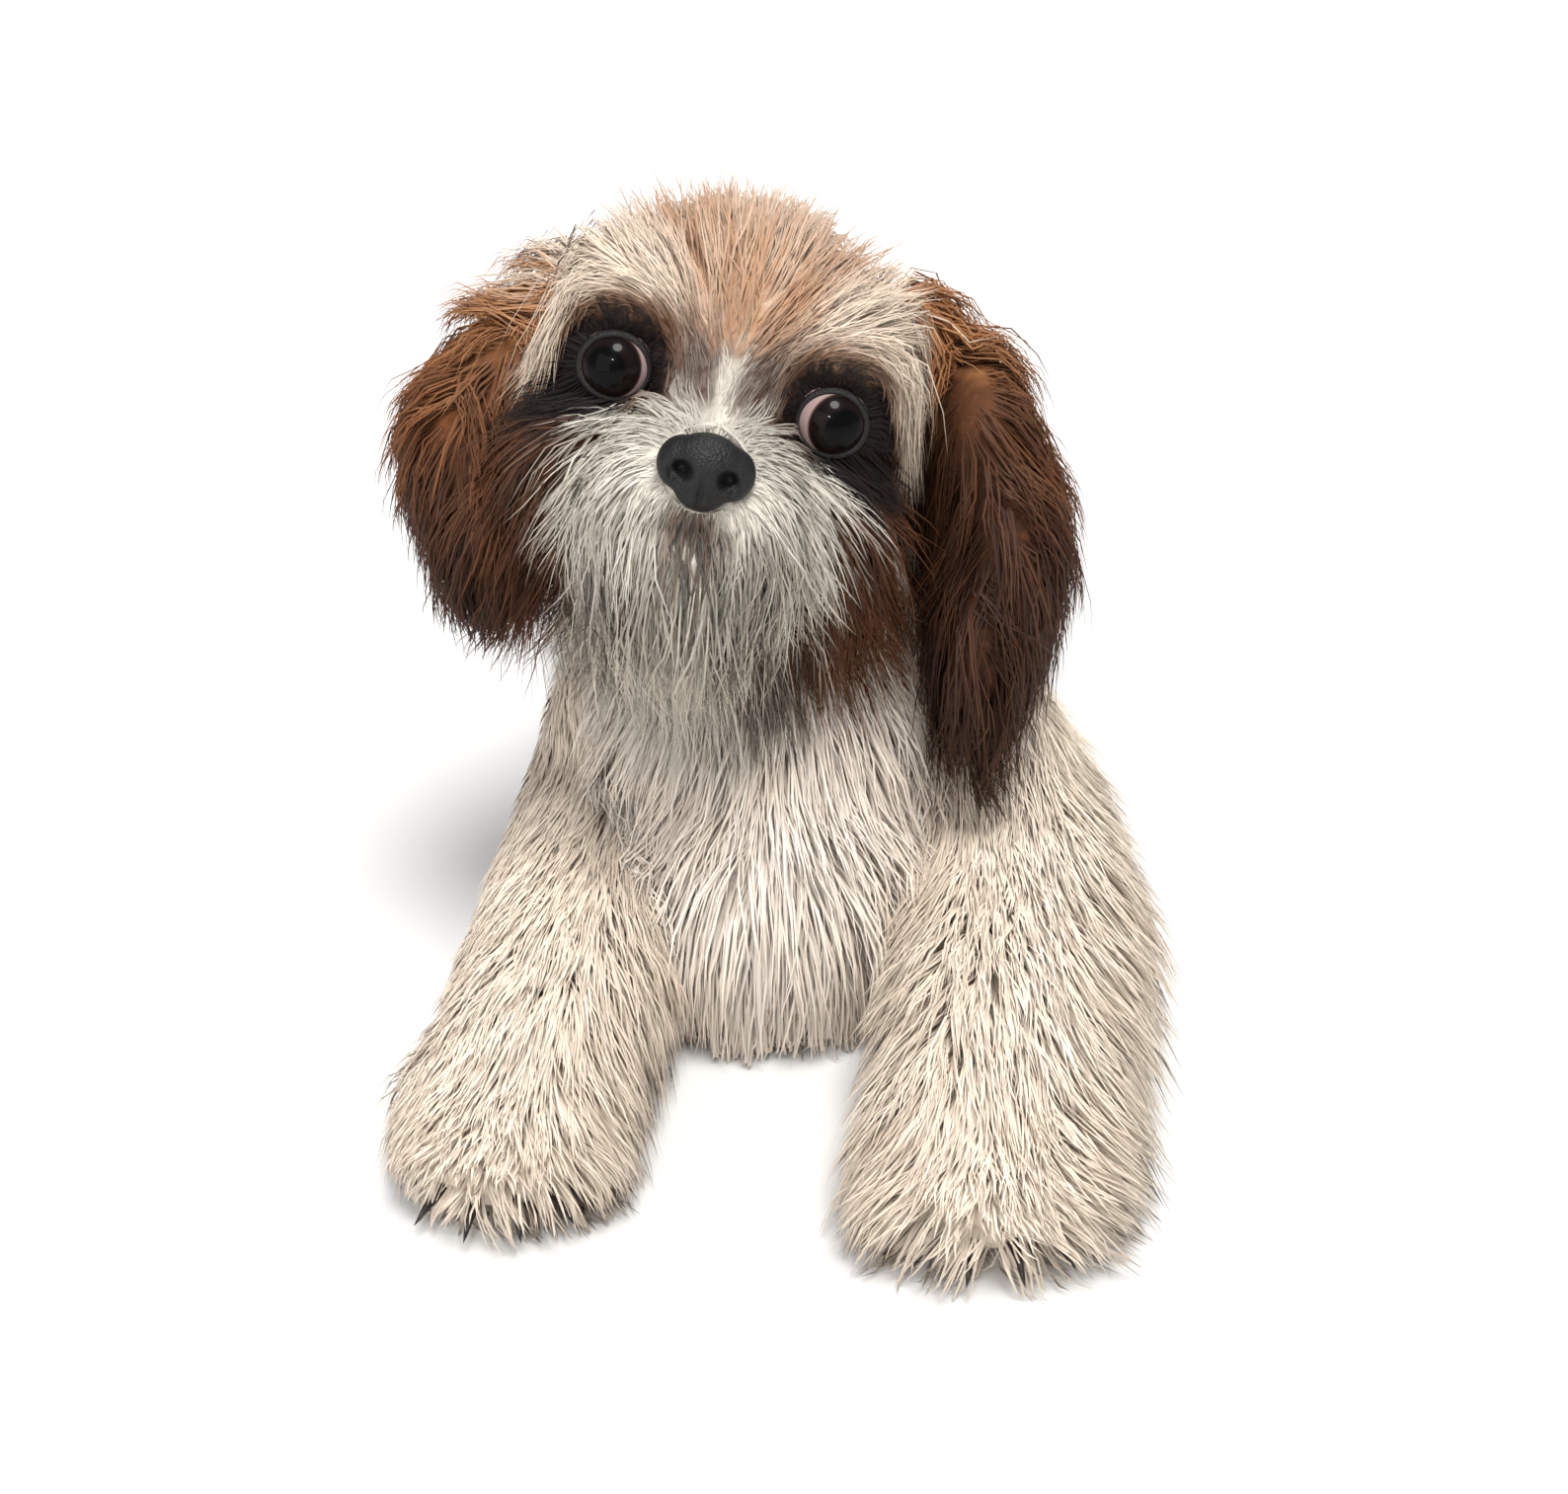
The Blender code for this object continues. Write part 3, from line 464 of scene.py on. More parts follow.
def unwrapped(corners):
    """The places of these triangles' corners on an unwrap of their own shape that fills the unit square."""
    mesh = bpy.data.meshes.new("unwrap")
    flat = corners.reshape(-1, 3)
    mesh.from_pydata(flat.tolist(), [], np.arange(len(flat)).reshape(-1, 3).tolist())
    obj = new_object("unwrap", mesh)
    form = bmesh.new()
    form.from_mesh(mesh)
    bmesh.ops.remove_doubles(form, verts=form.verts, dist=1e-6)
    form.to_mesh(mesh)
    form.free()
    bpy.context.view_layer.objects.active = obj
    obj.select_set(True)
    bpy.ops.object.mode_set(mode="EDIT")
    bpy.ops.mesh.select_all(action="SELECT")
    bpy.ops.uv.smart_project(angle_limit=math.radians(66), island_margin=0.004)
    bpy.ops.object.mode_set(mode="OBJECT")
    places = np.empty(len(mesh.loops) * 2, np.float32)
    mesh.uv_layers.active.data.foreach_get("uv", places)
    bpy.data.objects.remove(obj)
    bpy.data.meshes.remove(mesh)
    return places.reshape(-1, 3, 2).astype(float)


def scatter(corners, normals, weights, count, draw):
    """Random places on triangles, more where the weight is greater. It gives each one's triangle, the shares
    of the corners, the point and the normal.
    """
    limits = np.cumsum(weights)
    picks = np.searchsorted(limits, draw.random(count) * limits[-1])
    u, v = np.sort(draw.random((2, count)), axis=0)
    shares = np.stack((u, v - u, 1 - v), axis=1)
    points = (corners[picks] * shares[..., None]).sum(axis=1)
    looks = unit((normals[picks] * shares[..., None]).sum(axis=1))
    return picks, shares, points, looks


# What the coat keeps clear of, the eyes and the nose: place across and up in the head's frame, and radius.
FEATURES = (
    (EYE_SPACING / 2, EYE_HEIGHT, 1.0),
    (-EYE_SPACING / 2, EYE_HEIGHT, 1.0),
    (NOSE_PLACE[0], NOSE_PLACE[2] - 0.1, 1.25),
)


def beside_the_features(points):
    """Points moved aside from in front of the eyes and the nose."""
    spots = to_head(points.reshape(-1, 3))
    ahead = (spots[:, 1] < -EYE_DEPTH + 0.6) & (np.linalg.norm(spots, axis=1) < 12.0)
    for x, z, radius in FEATURES:
        aside = spots[:, (0, 2)] - (x, z)
        far = np.linalg.norm(aside, axis=1)
        inside = ahead & (far < radius)
        spots[inside, 0] = x + aside[inside, 0] / far[inside] * radius
        spots[inside, 2] = z + aside[inside, 1] / far[inside] * radius
    return from_head(spots).reshape(points.shape)


class Coat(NamedTuple):
    """One piece of the coat, in centimetres: where it grows, how it lies and how its tufts are made."""

    name: str
    slot: str
    grows: Callable
    lie: Callable
    size: Callable
    tufts: int
    guides: int
    width: float
    sections: int
    clump: float = 0.6
    frizz: float = 0.06
    rise: float = 0.6
    sway: float = 0.12
    wave: float = 0.1


def drape(points, normals, coat, tree, draw):
    """The middle lines of clumps: each rises from the skin, follows the lie and rests over the skin."""
    steps = GUIDE_STEPS
    length, lift, _ = coat.size(points, normals)
    length = length * draw.uniform(0.88, 1.12, len(points))
    sway = draw.normal(0.0, coat.sway, len(points))[:, None]
    wave = draw.uniform(0.0, math.tau, len(points))[:, None]
    line = [points]
    looks = [normals]
    look = normals
    place = points
    for step in range(1, steps + 1):
        share = step / steps
        flow = unit(coat.lie(place, look))
        aside = unit(np.cross(flow, look))
        flow = unit(flow + aside * (sway + coat.wave * np.sin(wave + share * 7.0)))
        heading = unit(flow + look * coat.rise * (1 - share) ** 2)
        place = place + heading * (length / steps * 0.01)[:, None]
        stand = lift * 0.01 * (1 - (1 - share) ** 2)
        moved = np.empty_like(place)
        turned = np.empty_like(place)
        for n, point in enumerate(place):
            nearest, normal, _, _ = tree.find_nearest(Vector(point))
            over = (Vector(point) - nearest).dot(normal)
            if over < stand[n]:
                point = Vector(point) + normal * (stand[n] - over)
            else:
                point = Vector(point) - normal * (over - stand[n]) * 0.25
            moved[n] = point
            turned[n] = normal
        moved[:, 2] = np.maximum(moved[:, 2], FLOOR_CLEARANCE)
        place = moved
        look = unit(turned)
        line.append(place)
        looks.append(look)
    return np.stack(line, axis=1), np.stack(looks, axis=1), length


def nearest_rows(rows, others, block=2000):
    """For each row the number of the nearest of the others."""
    found = []
    squares = (others**2).sum(axis=1)
    for start in range(0, len(rows), block):
        part = rows[start : start + block]
        found.append(np.argmin(squares[None] - 2 * part @ others.T, axis=1))
    return np.concatenate(found)


def along_lines(lines, shares):
    """Points on lines of equal steps at shares of their length."""
    steps = lines.shape[1] - 1
    place = np.clip(shares * steps, 0, steps - 1e-6)
    n = place.astype(int)
    part = (place - n)[..., None]
    rows = np.arange(len(lines))[:, None]
    return lines[rows, n] * (1 - part) + lines[rows, n + 1] * part


def grow_coat(coat, skin, tree):
    """Makes one piece of the coat as a joined mesh of thin closed tufts."""
    draw = np.random.default_rng(SEED + len(coat.name) * 7 + coat.tufts)
    own = coat.grows(skin.centres, skin.names)
    corners, normals = skin.corners[own], skin.normals[own]
    flat = unwrapped(corners)
    middle, look = skin.centres[own], unit(normals.mean(axis=1))
    _, _, cover = coat.size(middle, look)
    weights = skin.areas[own] * cover
    _, _, guide_roots, guide_looks = scatter(corners, normals, weights, coat.guides, draw)
    lines, looks, guide_length = drape(guide_roots, guide_looks, coat, tree, draw)
    picks, shares, roots, root_looks = scatter(corners, normals, weights, coat.tufts, draw)
    places = (flat[picks] * shares[..., None]).sum(axis=1)
    chosen = nearest_rows(
        np.hstack((roots * 100, root_looks * OUTLOOK)), np.hstack((guide_roots * 100, guide_looks * OUTLOOK))
    )
    length, _, _ = coat.size(roots, root_looks)
    length = length * draw.uniform(0.72, 1.06, coat.tufts)
    scale = length / guide_length[chosen]
    along = np.linspace(0.0, 1.0, coat.sections + 1)[None].repeat(coat.tufts, axis=0)
    paths = along_lines(lines[chosen], along)
    faces = unit(along_lines(looks[chosen], along))
    aside = roots - guide_roots[chosen]
    strength = coat.clump * draw.uniform(0.5, 1.2, coat.tufts)
    paths = paths - guide_roots[chosen][:, None]
    paths = paths * scale[:, None, None] - aside[:, None] * (strength[:, None] * along**1.4)[..., None]
    stray = draw.normal(0.0, coat.frizz, (coat.tufts, 3)) * length[:, None] * 0.01
    wave = draw.normal(0.0, coat.frizz * 0.4, (coat.tufts, 3)) * length[:, None] * 0.01
    paths = paths + stray[:, None] * (along**1.5)[..., None]
    paths = paths + wave[:, None] * np.sin(along * math.pi * 1.7)[..., None]
    paths = roots[:, None] - root_looks[:, None] * ROOT_DEPTH + paths
    paths[:, 1:] = beside_the_features(paths[:, 1:])
    paths[..., 2] = np.maximum(paths[..., 2], FLOOR_CLEARANCE)
    names = part_names(roots)
    return tuft_mesh(coat, paths, faces, places, markings_and_painted_shade(roots, names), draw)


# A tuft's cross section: shares of its half width across and up. Its shading leans from the tuft's own
# roundness towards the lie of the whole coat, as light spreads through real hair.
RING = ((1.0, -0.35), (0.0, 0.7), (-1.0, -0.35))
ROUNDNESS = 0.4


def tuft_mesh(coat, paths, faces, places, colours, draw):
    """Lofts a thin three-sided tuft that ends in a point along each path."""
    count, rings = len(paths), coat.sections
    ahead = np.gradient(paths, axis=1)
    across = unit(np.cross(unit(ahead), faces))
    up = unit(np.cross(across, ahead))
    roll = draw.normal(0.0, 0.35, count)[:, None, None]
    side = across * np.cos(roll) + up * np.sin(roll)
    top = up * np.cos(roll) - across * np.sin(roll)
    t = np.linspace(0.0, 1.0, rings + 1)[:-1]
    profile = np.minimum(0.6 + t * 2.0, 1.0) * (1 - t**2.2) ** 0.6
    half = coat.width * 0.005 * draw.uniform(0.6, 1.3, count)[:, None] * profile[None]
    verts = np.empty((count, rings * 3 + 1, 3))
    shading = np.empty((count, rings * 3 + 1, 3))
    for n, (wide, high) in enumerate(RING):
        outwards = side * wide + top * high * 0.8
        verts[:, n : rings * 3 : 3] = paths[:, :-1] + outwards[:, :-1] * half[..., None]
        shading[:, n : rings * 3 : 3] = unit(unit(outwards[:, :-1]) * ROUNDNESS + faces[:, :-1])
    verts[:, -1] = paths[:, -1]
    shading[:, -1] = faces[:, -1]
    pattern = [(0, 1, 2)]
    for ring in range(rings - 1):
        for n in range(3):
            m = (n + 1) % 3
            a, b = ring * 3 + n, ring * 3 + m
            pattern += [(a, a + 3, b + 3), (a, b + 3, b)]
    last = (rings - 1) * 3
    pattern += [(last + n, rings * 3, last + (n + 1) % 3) for n in range(3)]
    pattern = np.array(pattern)
    size = rings * 3 + 1
    triangles = (pattern[None] + (np.arange(count) * size)[:, None, None]).reshape(-1, 3)

    mesh = bpy.data.meshes.new(coat.name)
    mesh.vertices.add(count * size)
    mesh.vertices.foreach_set("co", verts.astype(np.float32).ravel())
    mesh.loops.add(triangles.size)
    mesh.loops.foreach_set("vertex_index", triangles.astype(np.int32).ravel())
    mesh.polygons.add(len(triangles))
    mesh.polygons.foreach_set("loop_start", np.arange(0, triangles.size, 3, dtype=np.int32))
    mesh.update(calc_edges=True)
    mesh.shade_smooth()
    mesh.normals_split_custom_set_from_vertices(shading.reshape(-1, 3).tolist())

    u = np.array([0.0, 0.5, 1.0])
    local = np.zeros((size, 2))
    for ring in range(rings):
        local[ring * 3 : ring * 3 + 3, 0] = u
        local[ring * 3 : ring * 3 + 3, 1] = ring / rings
    local[-1] = (0.5, 1.0)
    bake = places[:, None] + (local[None] - 0.5) * BAKE_PATCH
    strand = local[None] + draw.random((count, 1, 2)) * (0.0, 9.0)
    loops = triangles.ravel()
    for name, values in (("OFBake", bake), ("Strand", strand)):
        layer = mesh.uv_layers.new(name=name)
        layer.data.foreach_set("uv", values.reshape(-1, 2)[loops].astype(np.float32).ravel())

    shade = draw.normal(1.0, 0.07, count)[:, None, None]
    # Painted shade: each tuft is a little darker towards its root, deep in the coat.
    root = 0.93 + 0.07 * smooth(local[:, 1], 0.0, 0.45)
    rgb = colours[:, None] * shade * root[None, :, None]
    rgba = np.concatenate((np.clip(rgb, 0.0, 1.0), np.ones((count, size, 1))), axis=2)
    attribute = mesh.color_attributes.new("coat_colour", "FLOAT_COLOR", "POINT")
    attribute.data.foreach_set("color", rgba.astype(np.float32).ravel())
    return new_object(coat.name, mesh)


# A coat's lie gives each place's flow, and its size the hair's length, its lift off the skin and how dense it
# is. These two make the lies and sizes that are the same everywhere.
def even_lie(flow, off):
    return lambda points, looks: unit(np.array(flow) + looks * off)


def even_size(length, lift):
    return lambda points, looks: np.full((len(points), 3), (length, lift, 1.0)).T


def eye_offset(spots):
    """The side that each spot of the head is on, and where it is from that side's eye: out, up, how far."""
    sign = np.where(spots[:, 0] > 0, 1.0, -1.0)
    across = spots[:, 0] * sign - EYE_SPACING / 2
    up = spots[:, 2] - EYE_HEIGHT
    return sign, across, up, np.hypot(across, up)


def face_lie(points, looks):
    """The face fans out from the nose and round the eyes, the brows sweep outwards and the cheeks fall."""
    spots = to_head(points)
    sign, across, up, far = eye_offset(spots)
    wide = np.abs(spots[:, 0])
    fan = unit(spots - np.array(NOSE_PLACE))
    fan[:, 1] *= 0.5
    out = unit(np.stack((across * sign, np.full(len(spots), 0.15), up), axis=1))
    sweep = unit(np.stack((up * sign, np.full(len(spots), -0.1), -across), axis=1))
    crown = unit(spots - np.array((0.0, -6.0, 1.2)))
    rim = smooth(-far, -1.9, -1.3)
    over = smooth(up, -0.3, 0.5)
    brow = smooth(far, 1.4, 2.0) * smooth(-far, -3.6, -2.9) * over
    middle = smooth(-wide, -1.5, -0.7)
    top = smooth(spots[:, 2], 2.9, 3.9) * smooth(-wide, -5.4, -3.8)
    flow = mix(fan, out, rim)
    flow = mix(flow, sweep + out * 0.2, brow * (1 - middle))
    flow = mix(flow, crown, np.maximum(top, middle * smooth(up, 0.4, 1.8)))
    flow = turned_from_head(flow)
    fall = np.maximum(smooth(wide, 4.4, 5.4), smooth(-up, 0.3, 1.2) * smooth(wide, 2.4, 3.6))
    flow = mix(flow, DOWN + BACK * 0.05, fall * (1 - rim) * 0.9 * (1 - top))
    return unit(flow)


def face_size(points, looks):
    """Very short and close round the eyes and on the bridge, longer to the brows and the cheeks."""
    spots = to_head(points)
    _, _, _, far = eye_offset(spots)
    wide = np.abs(spots[:, 0])
    length = 0.45 + 1.4 * smooth(far, 1.2, 2.2) + 1.9 * smooth(far, 2.0, 3.2)
    bridge = smooth(-wide, -1.9, -1.2) * smooth(-spots[:, 2], -2.8, -1.4)
    length = length * (1 - bridge) + 0.9 * bridge
    side = smooth(wide, 3.6, 5.0)
    length = length + side * 2.0 + 2.6 * smooth(-spots[:, 2], 0.4, 2.5) * smooth(wide, 2.0, 3.2)
    lift = 0.14 + 0.75 * smooth(far, 1.4, 2.9) * (1 - bridge)
    cover = 3.2 - 2.4 * smooth(far, 1.5, 3.4)
    return length, lift, cover


def muzzle_lie(points, looks):
    """The muzzle radiates from the nose, the moustache falls outwards and the beard hangs."""
    spots = to_head(points)
    fan = unit(spots - np.array(NOSE_PLACE) - (0.0, 0.8, 0.3))
    low = smooth(-spots[:, 2], 1.2, 4.5)
    side = smooth(np.abs(spots[:, 0]), 1.0, 3.0)
    near = smooth(-np.linalg.norm(spots - np.array(NOSE_PLACE), axis=1), -2.4, -1.4)
    flow = turned_from_head(fan) + DOWN * ((0.35 + 0.9 * low + 0.45 * side) * (1 - near))[:, None]
    return unit(flow)


def muzzle_size(points, looks):
    """Short beside the nose and on top, long at the moustache, and longest at the beard."""
    spots = to_head(points)
    far = np.linalg.norm((spots - np.array(NOSE_PLACE)) * (1.0, 0.6, 1.0), axis=1)
    length = 0.5 + 5.2 * smooth(far, 1.1, 3.4)
    top = smooth(spots[:, 2], -1.6, -0.2)
    length = length * (1 - 0.6 * top) + 3.4 * smooth(-spots[:, 2], 2.4, 3.8)
    lift = 0.18 + 0.9 * smooth(far, 1.2, 3.5)
    cover = 2.0 - 1.1 * smooth(far, 1.5, 3.5)
    return length, lift, cover


def crown_lie(points, looks):
    """The crown spreads back from the stop between the eyes, and falls over the ears at its sides."""
    spots = to_head(points)
    flow = turned_from_head(unit(spots - np.array((0.0, -6.0, 1.2))))
    aside = smooth(np.abs(spots[:, 0]), 1.5, 4.0)
    return unit(flow + DOWN * (0.15 + 1.1 * aside)[:, None] + BACK * 0.1)


def crown_size(points, looks):
    aside = smooth(np.abs(to_head(points)[:, 0]), 2.0, 4.0)
    return 4.2 + 3.0 * aside, 0.95 + 0.2 * aside, 1.0 + 0.4 * aside


def ear_lie(points, looks):
    """The ears' hair hangs, and parts outwards over the top of the dog's left ear."""
    inward = np.where(points[:, 0] > 0, -0.03, -0.1)
    aside = np.stack((inward, np.zeros(len(points)), np.zeros(len(points))), axis=1)
    aside[:, 0] += np.where(points[:, 0] > 0.0, 0.6, -0.1) * smooth(looks[:, 2], 0.0, 0.7)
    return unit(DOWN + looks * 0.05 + aside)


def ear_size(points, looks):
    low = smooth(-points[:, 2] * 100, -19.0, -14.0)
    right = smooth(-points[:, 0], 0.0, 0.01)
    return 4.6 + 1.4 * low - 0.9 * right, np.full(len(points), 0.9), 2.0 - 1.1 * low


def back_lie(points, looks):
    """The back parts along its middle, and its sides fall backwards."""
    sign = np.where(points[:, 0] > 0.012, 1.0, -1.0)
    high = smooth(looks[:, 2], 0.5, 0.9)
    top = np.stack((sign * 0.55, np.full(len(points), 0.8), np.zeros(len(points))), axis=1)
    side = np.array((0.0, 0.45, -0.85))
    return unit(mix(side, top, high))


def foreleg_lie(points, looks):
    """The legs' coat runs down and forwards along the limb and spreads out over the paw."""
    sign = np.where(points[:, 0] > -0.01, 1.0, -1.0)
    flows = np.zeros((len(points), 3))
    for _, side in SIDES:
        own = sign == side
        paw = np.array(FOREPAWS[side]) * 0.01
        elbow = np.array(FORELEGS[side][1]) * 0.01
        along = unit(paw - elbow)
        middle = elbow + along * ((points[own] - elbow) @ along)[:, None]
        out = unit(points[own] - middle)
        toe = smooth(-(points[own, 1] - paw[1]) * 100, 0.0, 3.0)
        flank = 1 - smooth(looks[own, 2], -0.3, 0.5)
        flows[own] = along * (1.0 - 0.3 * toe)[:, None] + out * (0.5 * toe)[:, None]
        flows[own] += DOWN * (0.1 + 0.6 * flank)[:, None]
        outer = smooth(looks[own, 0] * side, 0.35, 0.95) * (1.0 if side > 0 else 0.0)
        inner = smooth(-looks[own, 0] * side, 0.35, 0.95)
        flows[own, 0] += (outer - inner * 0.6) * side
    return unit(flows)


def foreleg_size(points, looks):
    """Longer forwards on the legs and out from the dog's left leg, and short over the toes."""
    ahead = smooth(-points[:, 1] * 100, 6.0, 16.0)
    toe = smooth(-points[:, 1] * 100, 18.0, 23.0)
    left = smooth(points[:, 0], -0.02, 0.0)
    outer = smooth(looks[:, 0] * np.where(left > 0.5, 1.0, -1.0), 0.1, 0.7)
    inner = smooth(-looks[:, 0] * np.where(left > 0.5, 1.0, -1.0), 0.1, 0.7)
    length = 3.0 + 0.4 * ahead - 0.3 * toe + 0.7 * inner
    length += left * (1.9 * outer * (1 - toe) + 0.8 * toe) - (1 - left) * 0.9 * outer
    lift = 0.8 + 0.5 * ahead - 0.4 * toe + 0.4 * inner + left * 0.6 * outer - (1 - left) * 0.4 * outer
    under = smooth(looks[:, 2], -0.9, -0.3)
    return length, lift, 0.15 + 0.85 * under + 1.6 * smooth(looks[:, 2], 0.2, 0.8)


def hind_size(points, looks):
    paw = smooth(-points[:, 2] * 100, -3.6, -2.4) * smooth(-points[:, 1] * 100, -13.0, -10.5)
    return 4.0 - 2.2 * paw, 1.4 - 0.8 * paw, np.ones(len(points))


def on(*parts):
    """Tells which places lie on the named parts."""
    return lambda centres, names: np.isin(names, parts)


def on_muzzle(centres, names):
    """The jaw, and the head's front below the eyes."""
    spots = to_head(centres)
    front = (spots[:, 1] < -3.9) & (spots[:, 2] < 0.1)
    return (names == "jaw") | ((names == "head") & front)


def on_face(centres, names):
    spots = to_head(centres)
    return (names == "head") & ~on_muzzle(centres, names) & (spots[:, 1] < -0.6)


def on_crown(centres, names):
    return (names == "head") & ~on_muzzle(centres, names) & ~on_face(centres, names)


def on_chest(centres, names):
    return (names == "neck") | ((names == "torso") & (centres[:, 1] < -0.02))


def on_back(centres, names):
    return (names == "torso") & (centres[:, 1] >= -0.02)


COATS = (
    Coat(
        "coat_face", "face_coat", on_face, face_lie, face_size, 11500, 1700, 0.05, 3,
        clump=0.45, rise=0.25, sway=0.06, wave=0.05,
    ),
    Coat(
        "coat_muzzle", "face_coat", on_muzzle, muzzle_lie, muzzle_size, 7600, 800, 0.055, 4,
        clump=0.45, rise=0.3, sway=0.08, wave=0.06,
    ),
    Coat(
        "coat_crown", "face_coat", on_crown, crown_lie, crown_size, 8500, 900, 0.055, 4,
        clump=0.35, frizz=0.04, rise=0.15, sway=0.06, wave=0.05,
    ),
    *(
        Coat(
            "coat_" + ear, "ear_coat", on(ear), ear_lie, ear_size, tufts, guides, 0.07, 4,
            clump=0.4, rise=0.3, sway=0.1, wave=0.16,
        )
        for ear, tufts, guides in (("ear_left", 5600, 420), ("ear_right", 5000, 380))
    ),
    Coat(
        "coat_chest", "white_coat", on_chest, even_lie((0.0, 0.0, -1.0), 0.06), even_size(4.8, 1.5),
        10000, 1100, 0.095, 3, clump=0.3, frizz=0.04, rise=0.3, sway=0.07, wave=0.05,
    ),
    *(
        Coat(
            "coat_foreleg_" + side, "white_coat", on("foreleg_" + side, "forepaw_" + side), foreleg_lie,
            foreleg_size, 10000, 1400, 0.09, 3, clump=0.25, frizz=0.04, rise=0.25, sway=0.08, wave=0.05,
        )
        for side, _ in SIDES
    ),
    Coat(
        "coat_back", "back_coat", on_back, back_lie, even_size(5.2, 1.6), 8500, 700, 0.11, 3,
        clump=0.4, rise=0.35, sway=0.1,
    ),
    Coat(
        "coat_hind", "white_coat", on("hindleg_left", "hindleg_right", "hindpaw_left", "hindpaw_right"),
        even_lie((0.0, -0.25, -0.8), 0.15), hind_size, 5400, 500, 0.1, 3, clump=0.4, rise=0.35,
    ),
    Coat(
        "coat_tail", "back_coat", on("tail"), even_lie((0.45, 0.2, -0.8), 0.1), even_size(6.0, 1.6),
        2500, 160, 0.1, 3,
    ),
)


def add_node(tree, kind, inputs=None, **settings):
    """A shader node with its plain settings, and its inputs set or linked by name."""
    node = tree.nodes.new(kind)
    for name, value in settings.items():
        setattr(node, name, value)
    for name, value in (inputs or {}).items():
        if isinstance(value, bpy.types.NodeSocket):
            tree.links.new(value, node.inputs[name])
        else:
            node.inputs[name].default_value = value
    return node


def new_material(name):
    material = bpy.data.materials.new(name)
    material.use_nodes = True
    material.node_tree.nodes.clear()
    return material, material.node_tree


def add_ramp(tree, value, stops):
    """A colour ramp over a value, from its stops in order, each a place and a linear colour."""
    ramp = add_node(tree, "ShaderNodeValToRGB", {"Fac": value})
    elements = ramp.color_ramp.elements
    for n, (place, colour) in enumerate(stops):
        stop = elements[n] if n < 2 else elements.new(place)
        stop.position, stop.color = place, (*colour, 1.0)
    return ramp.outputs[0]


def add_bump(tree, height, strength, distance):
    bump = add_node(tree, "ShaderNodeBump", {"Height": height, "Strength": strength, "Distance": distance})
    return bump.outputs[0]


def finish_material(tree, inputs):
    """The principled shader with these inputs, as the material's surface."""
    shader = add_node(tree, "ShaderNodeBsdfPrincipled", inputs)
    add_node(tree, "ShaderNodeOutputMaterial", {"Surface": shader.outputs[0]})


def hair_material():
    """Clean combed hair, softly glossy: the coat's own colour, streaked along each tuft so that it reads as
    many hairs. The streaks are drawn coarser than real hairs, which are too fine to show.
    """
    material, tree = new_material("dog_hair")
    colour = add_node(tree, "ShaderNodeVertexColor", layer_name="coat_colour")
    strand = add_node(tree, "ShaderNodeUVMap", uv_map="Strand")
    stretch = add_node(tree, "ShaderNodeMapping", {"Vector": strand.outputs[0], "Scale": (9.0, 0.7, 1.0)})
    streaks = add_node(
        tree, "ShaderNodeTexNoise", {"Vector": stretch.outputs[0], "Scale": 2.0, "Detail": 2.0}
    )
    darker = add_node(
        tree, "ShaderNodeMapRange",
        {"Value": streaks.outputs[0], "From Min": 0.3, "From Max": 0.7, "To Min": 0.78, "To Max": 1.1},
    )
    streaked = add_node(
        tree, "ShaderNodeVectorMath",
        {0: colour.outputs[0], 1: darker.outputs[0]}, operation="MULTIPLY",
    )
    look = {
        "Base Color": streaked.outputs[0],
        "Roughness": 0.55,
        "Specular IOR Level": 0.22,
        "Normal": add_bump(tree, streaks.outputs[0], 0.35, 0.0004),
    }
    finish_material(tree, look)
    return material


def skin_material():
    """The skin and the woolly undercoat on it: the coat's colours, a little darker as painted shade deep in
    the coat, in a soft matt nap.
    """
    material, tree = new_material("dog_skin")
    colour = add_node(tree, "ShaderNodeVertexColor", layer_name="coat_colour")
    where = add_node(tree, "ShaderNodeTexCoord")
    nap = add_node(
        tree, "ShaderNodeTexNoise", {"Vector": where.outputs["Object"], "Scale": 900.0, "Detail": 4.0}
    )
    look = {
        "Base Color": colour.outputs[0],
        "Roughness": 0.85,
        "Specular IOR Level": 0.1,
        "Normal": add_bump(tree, nap.outputs[0], 0.6, 0.001),
    }
    finish_material(tree, look)
    return material


def make_skin():
    """One skin over all the flesh, in the coat's markings and painted shade, darkened a little more as
    painted shade under the coat.
    """
    skin = grow("skin", PARTS.values(), SKIN_VOXEL, 6)
    points = vertices_of(skin.data)
    points[:, 2] = np.maximum(points[:, 2], SKIN_CLEARANCE)
    move_vertices(skin.data, points)
    # Painted shade: the skin seen between the tufts takes the coat's colours a little darker.
    colours = markings_and_painted_shade(points, part_names(points)) * 0.95
    rgba = np.hstack((colours, np.ones((len(colours), 1))))
    attribute = skin.data.color_attributes.new("coat_colour", "FLOAT_COLOR", "POINT")
    attribute.data.foreach_set("color", rgba.astype(np.float32).ravel())
    skin.data.materials.append(skin_material())
    return skin


# The eye's colours from its rim to its pupil, by the cosine of the angle from where it looks.
EYE_STOPS = (
    (0.46, "9c8480"), (0.53, "2a1a16"), (0.6, "0d0807"), (0.76, "160d0a"), (0.84, "0f0908"), (0.87, "020202"),
)


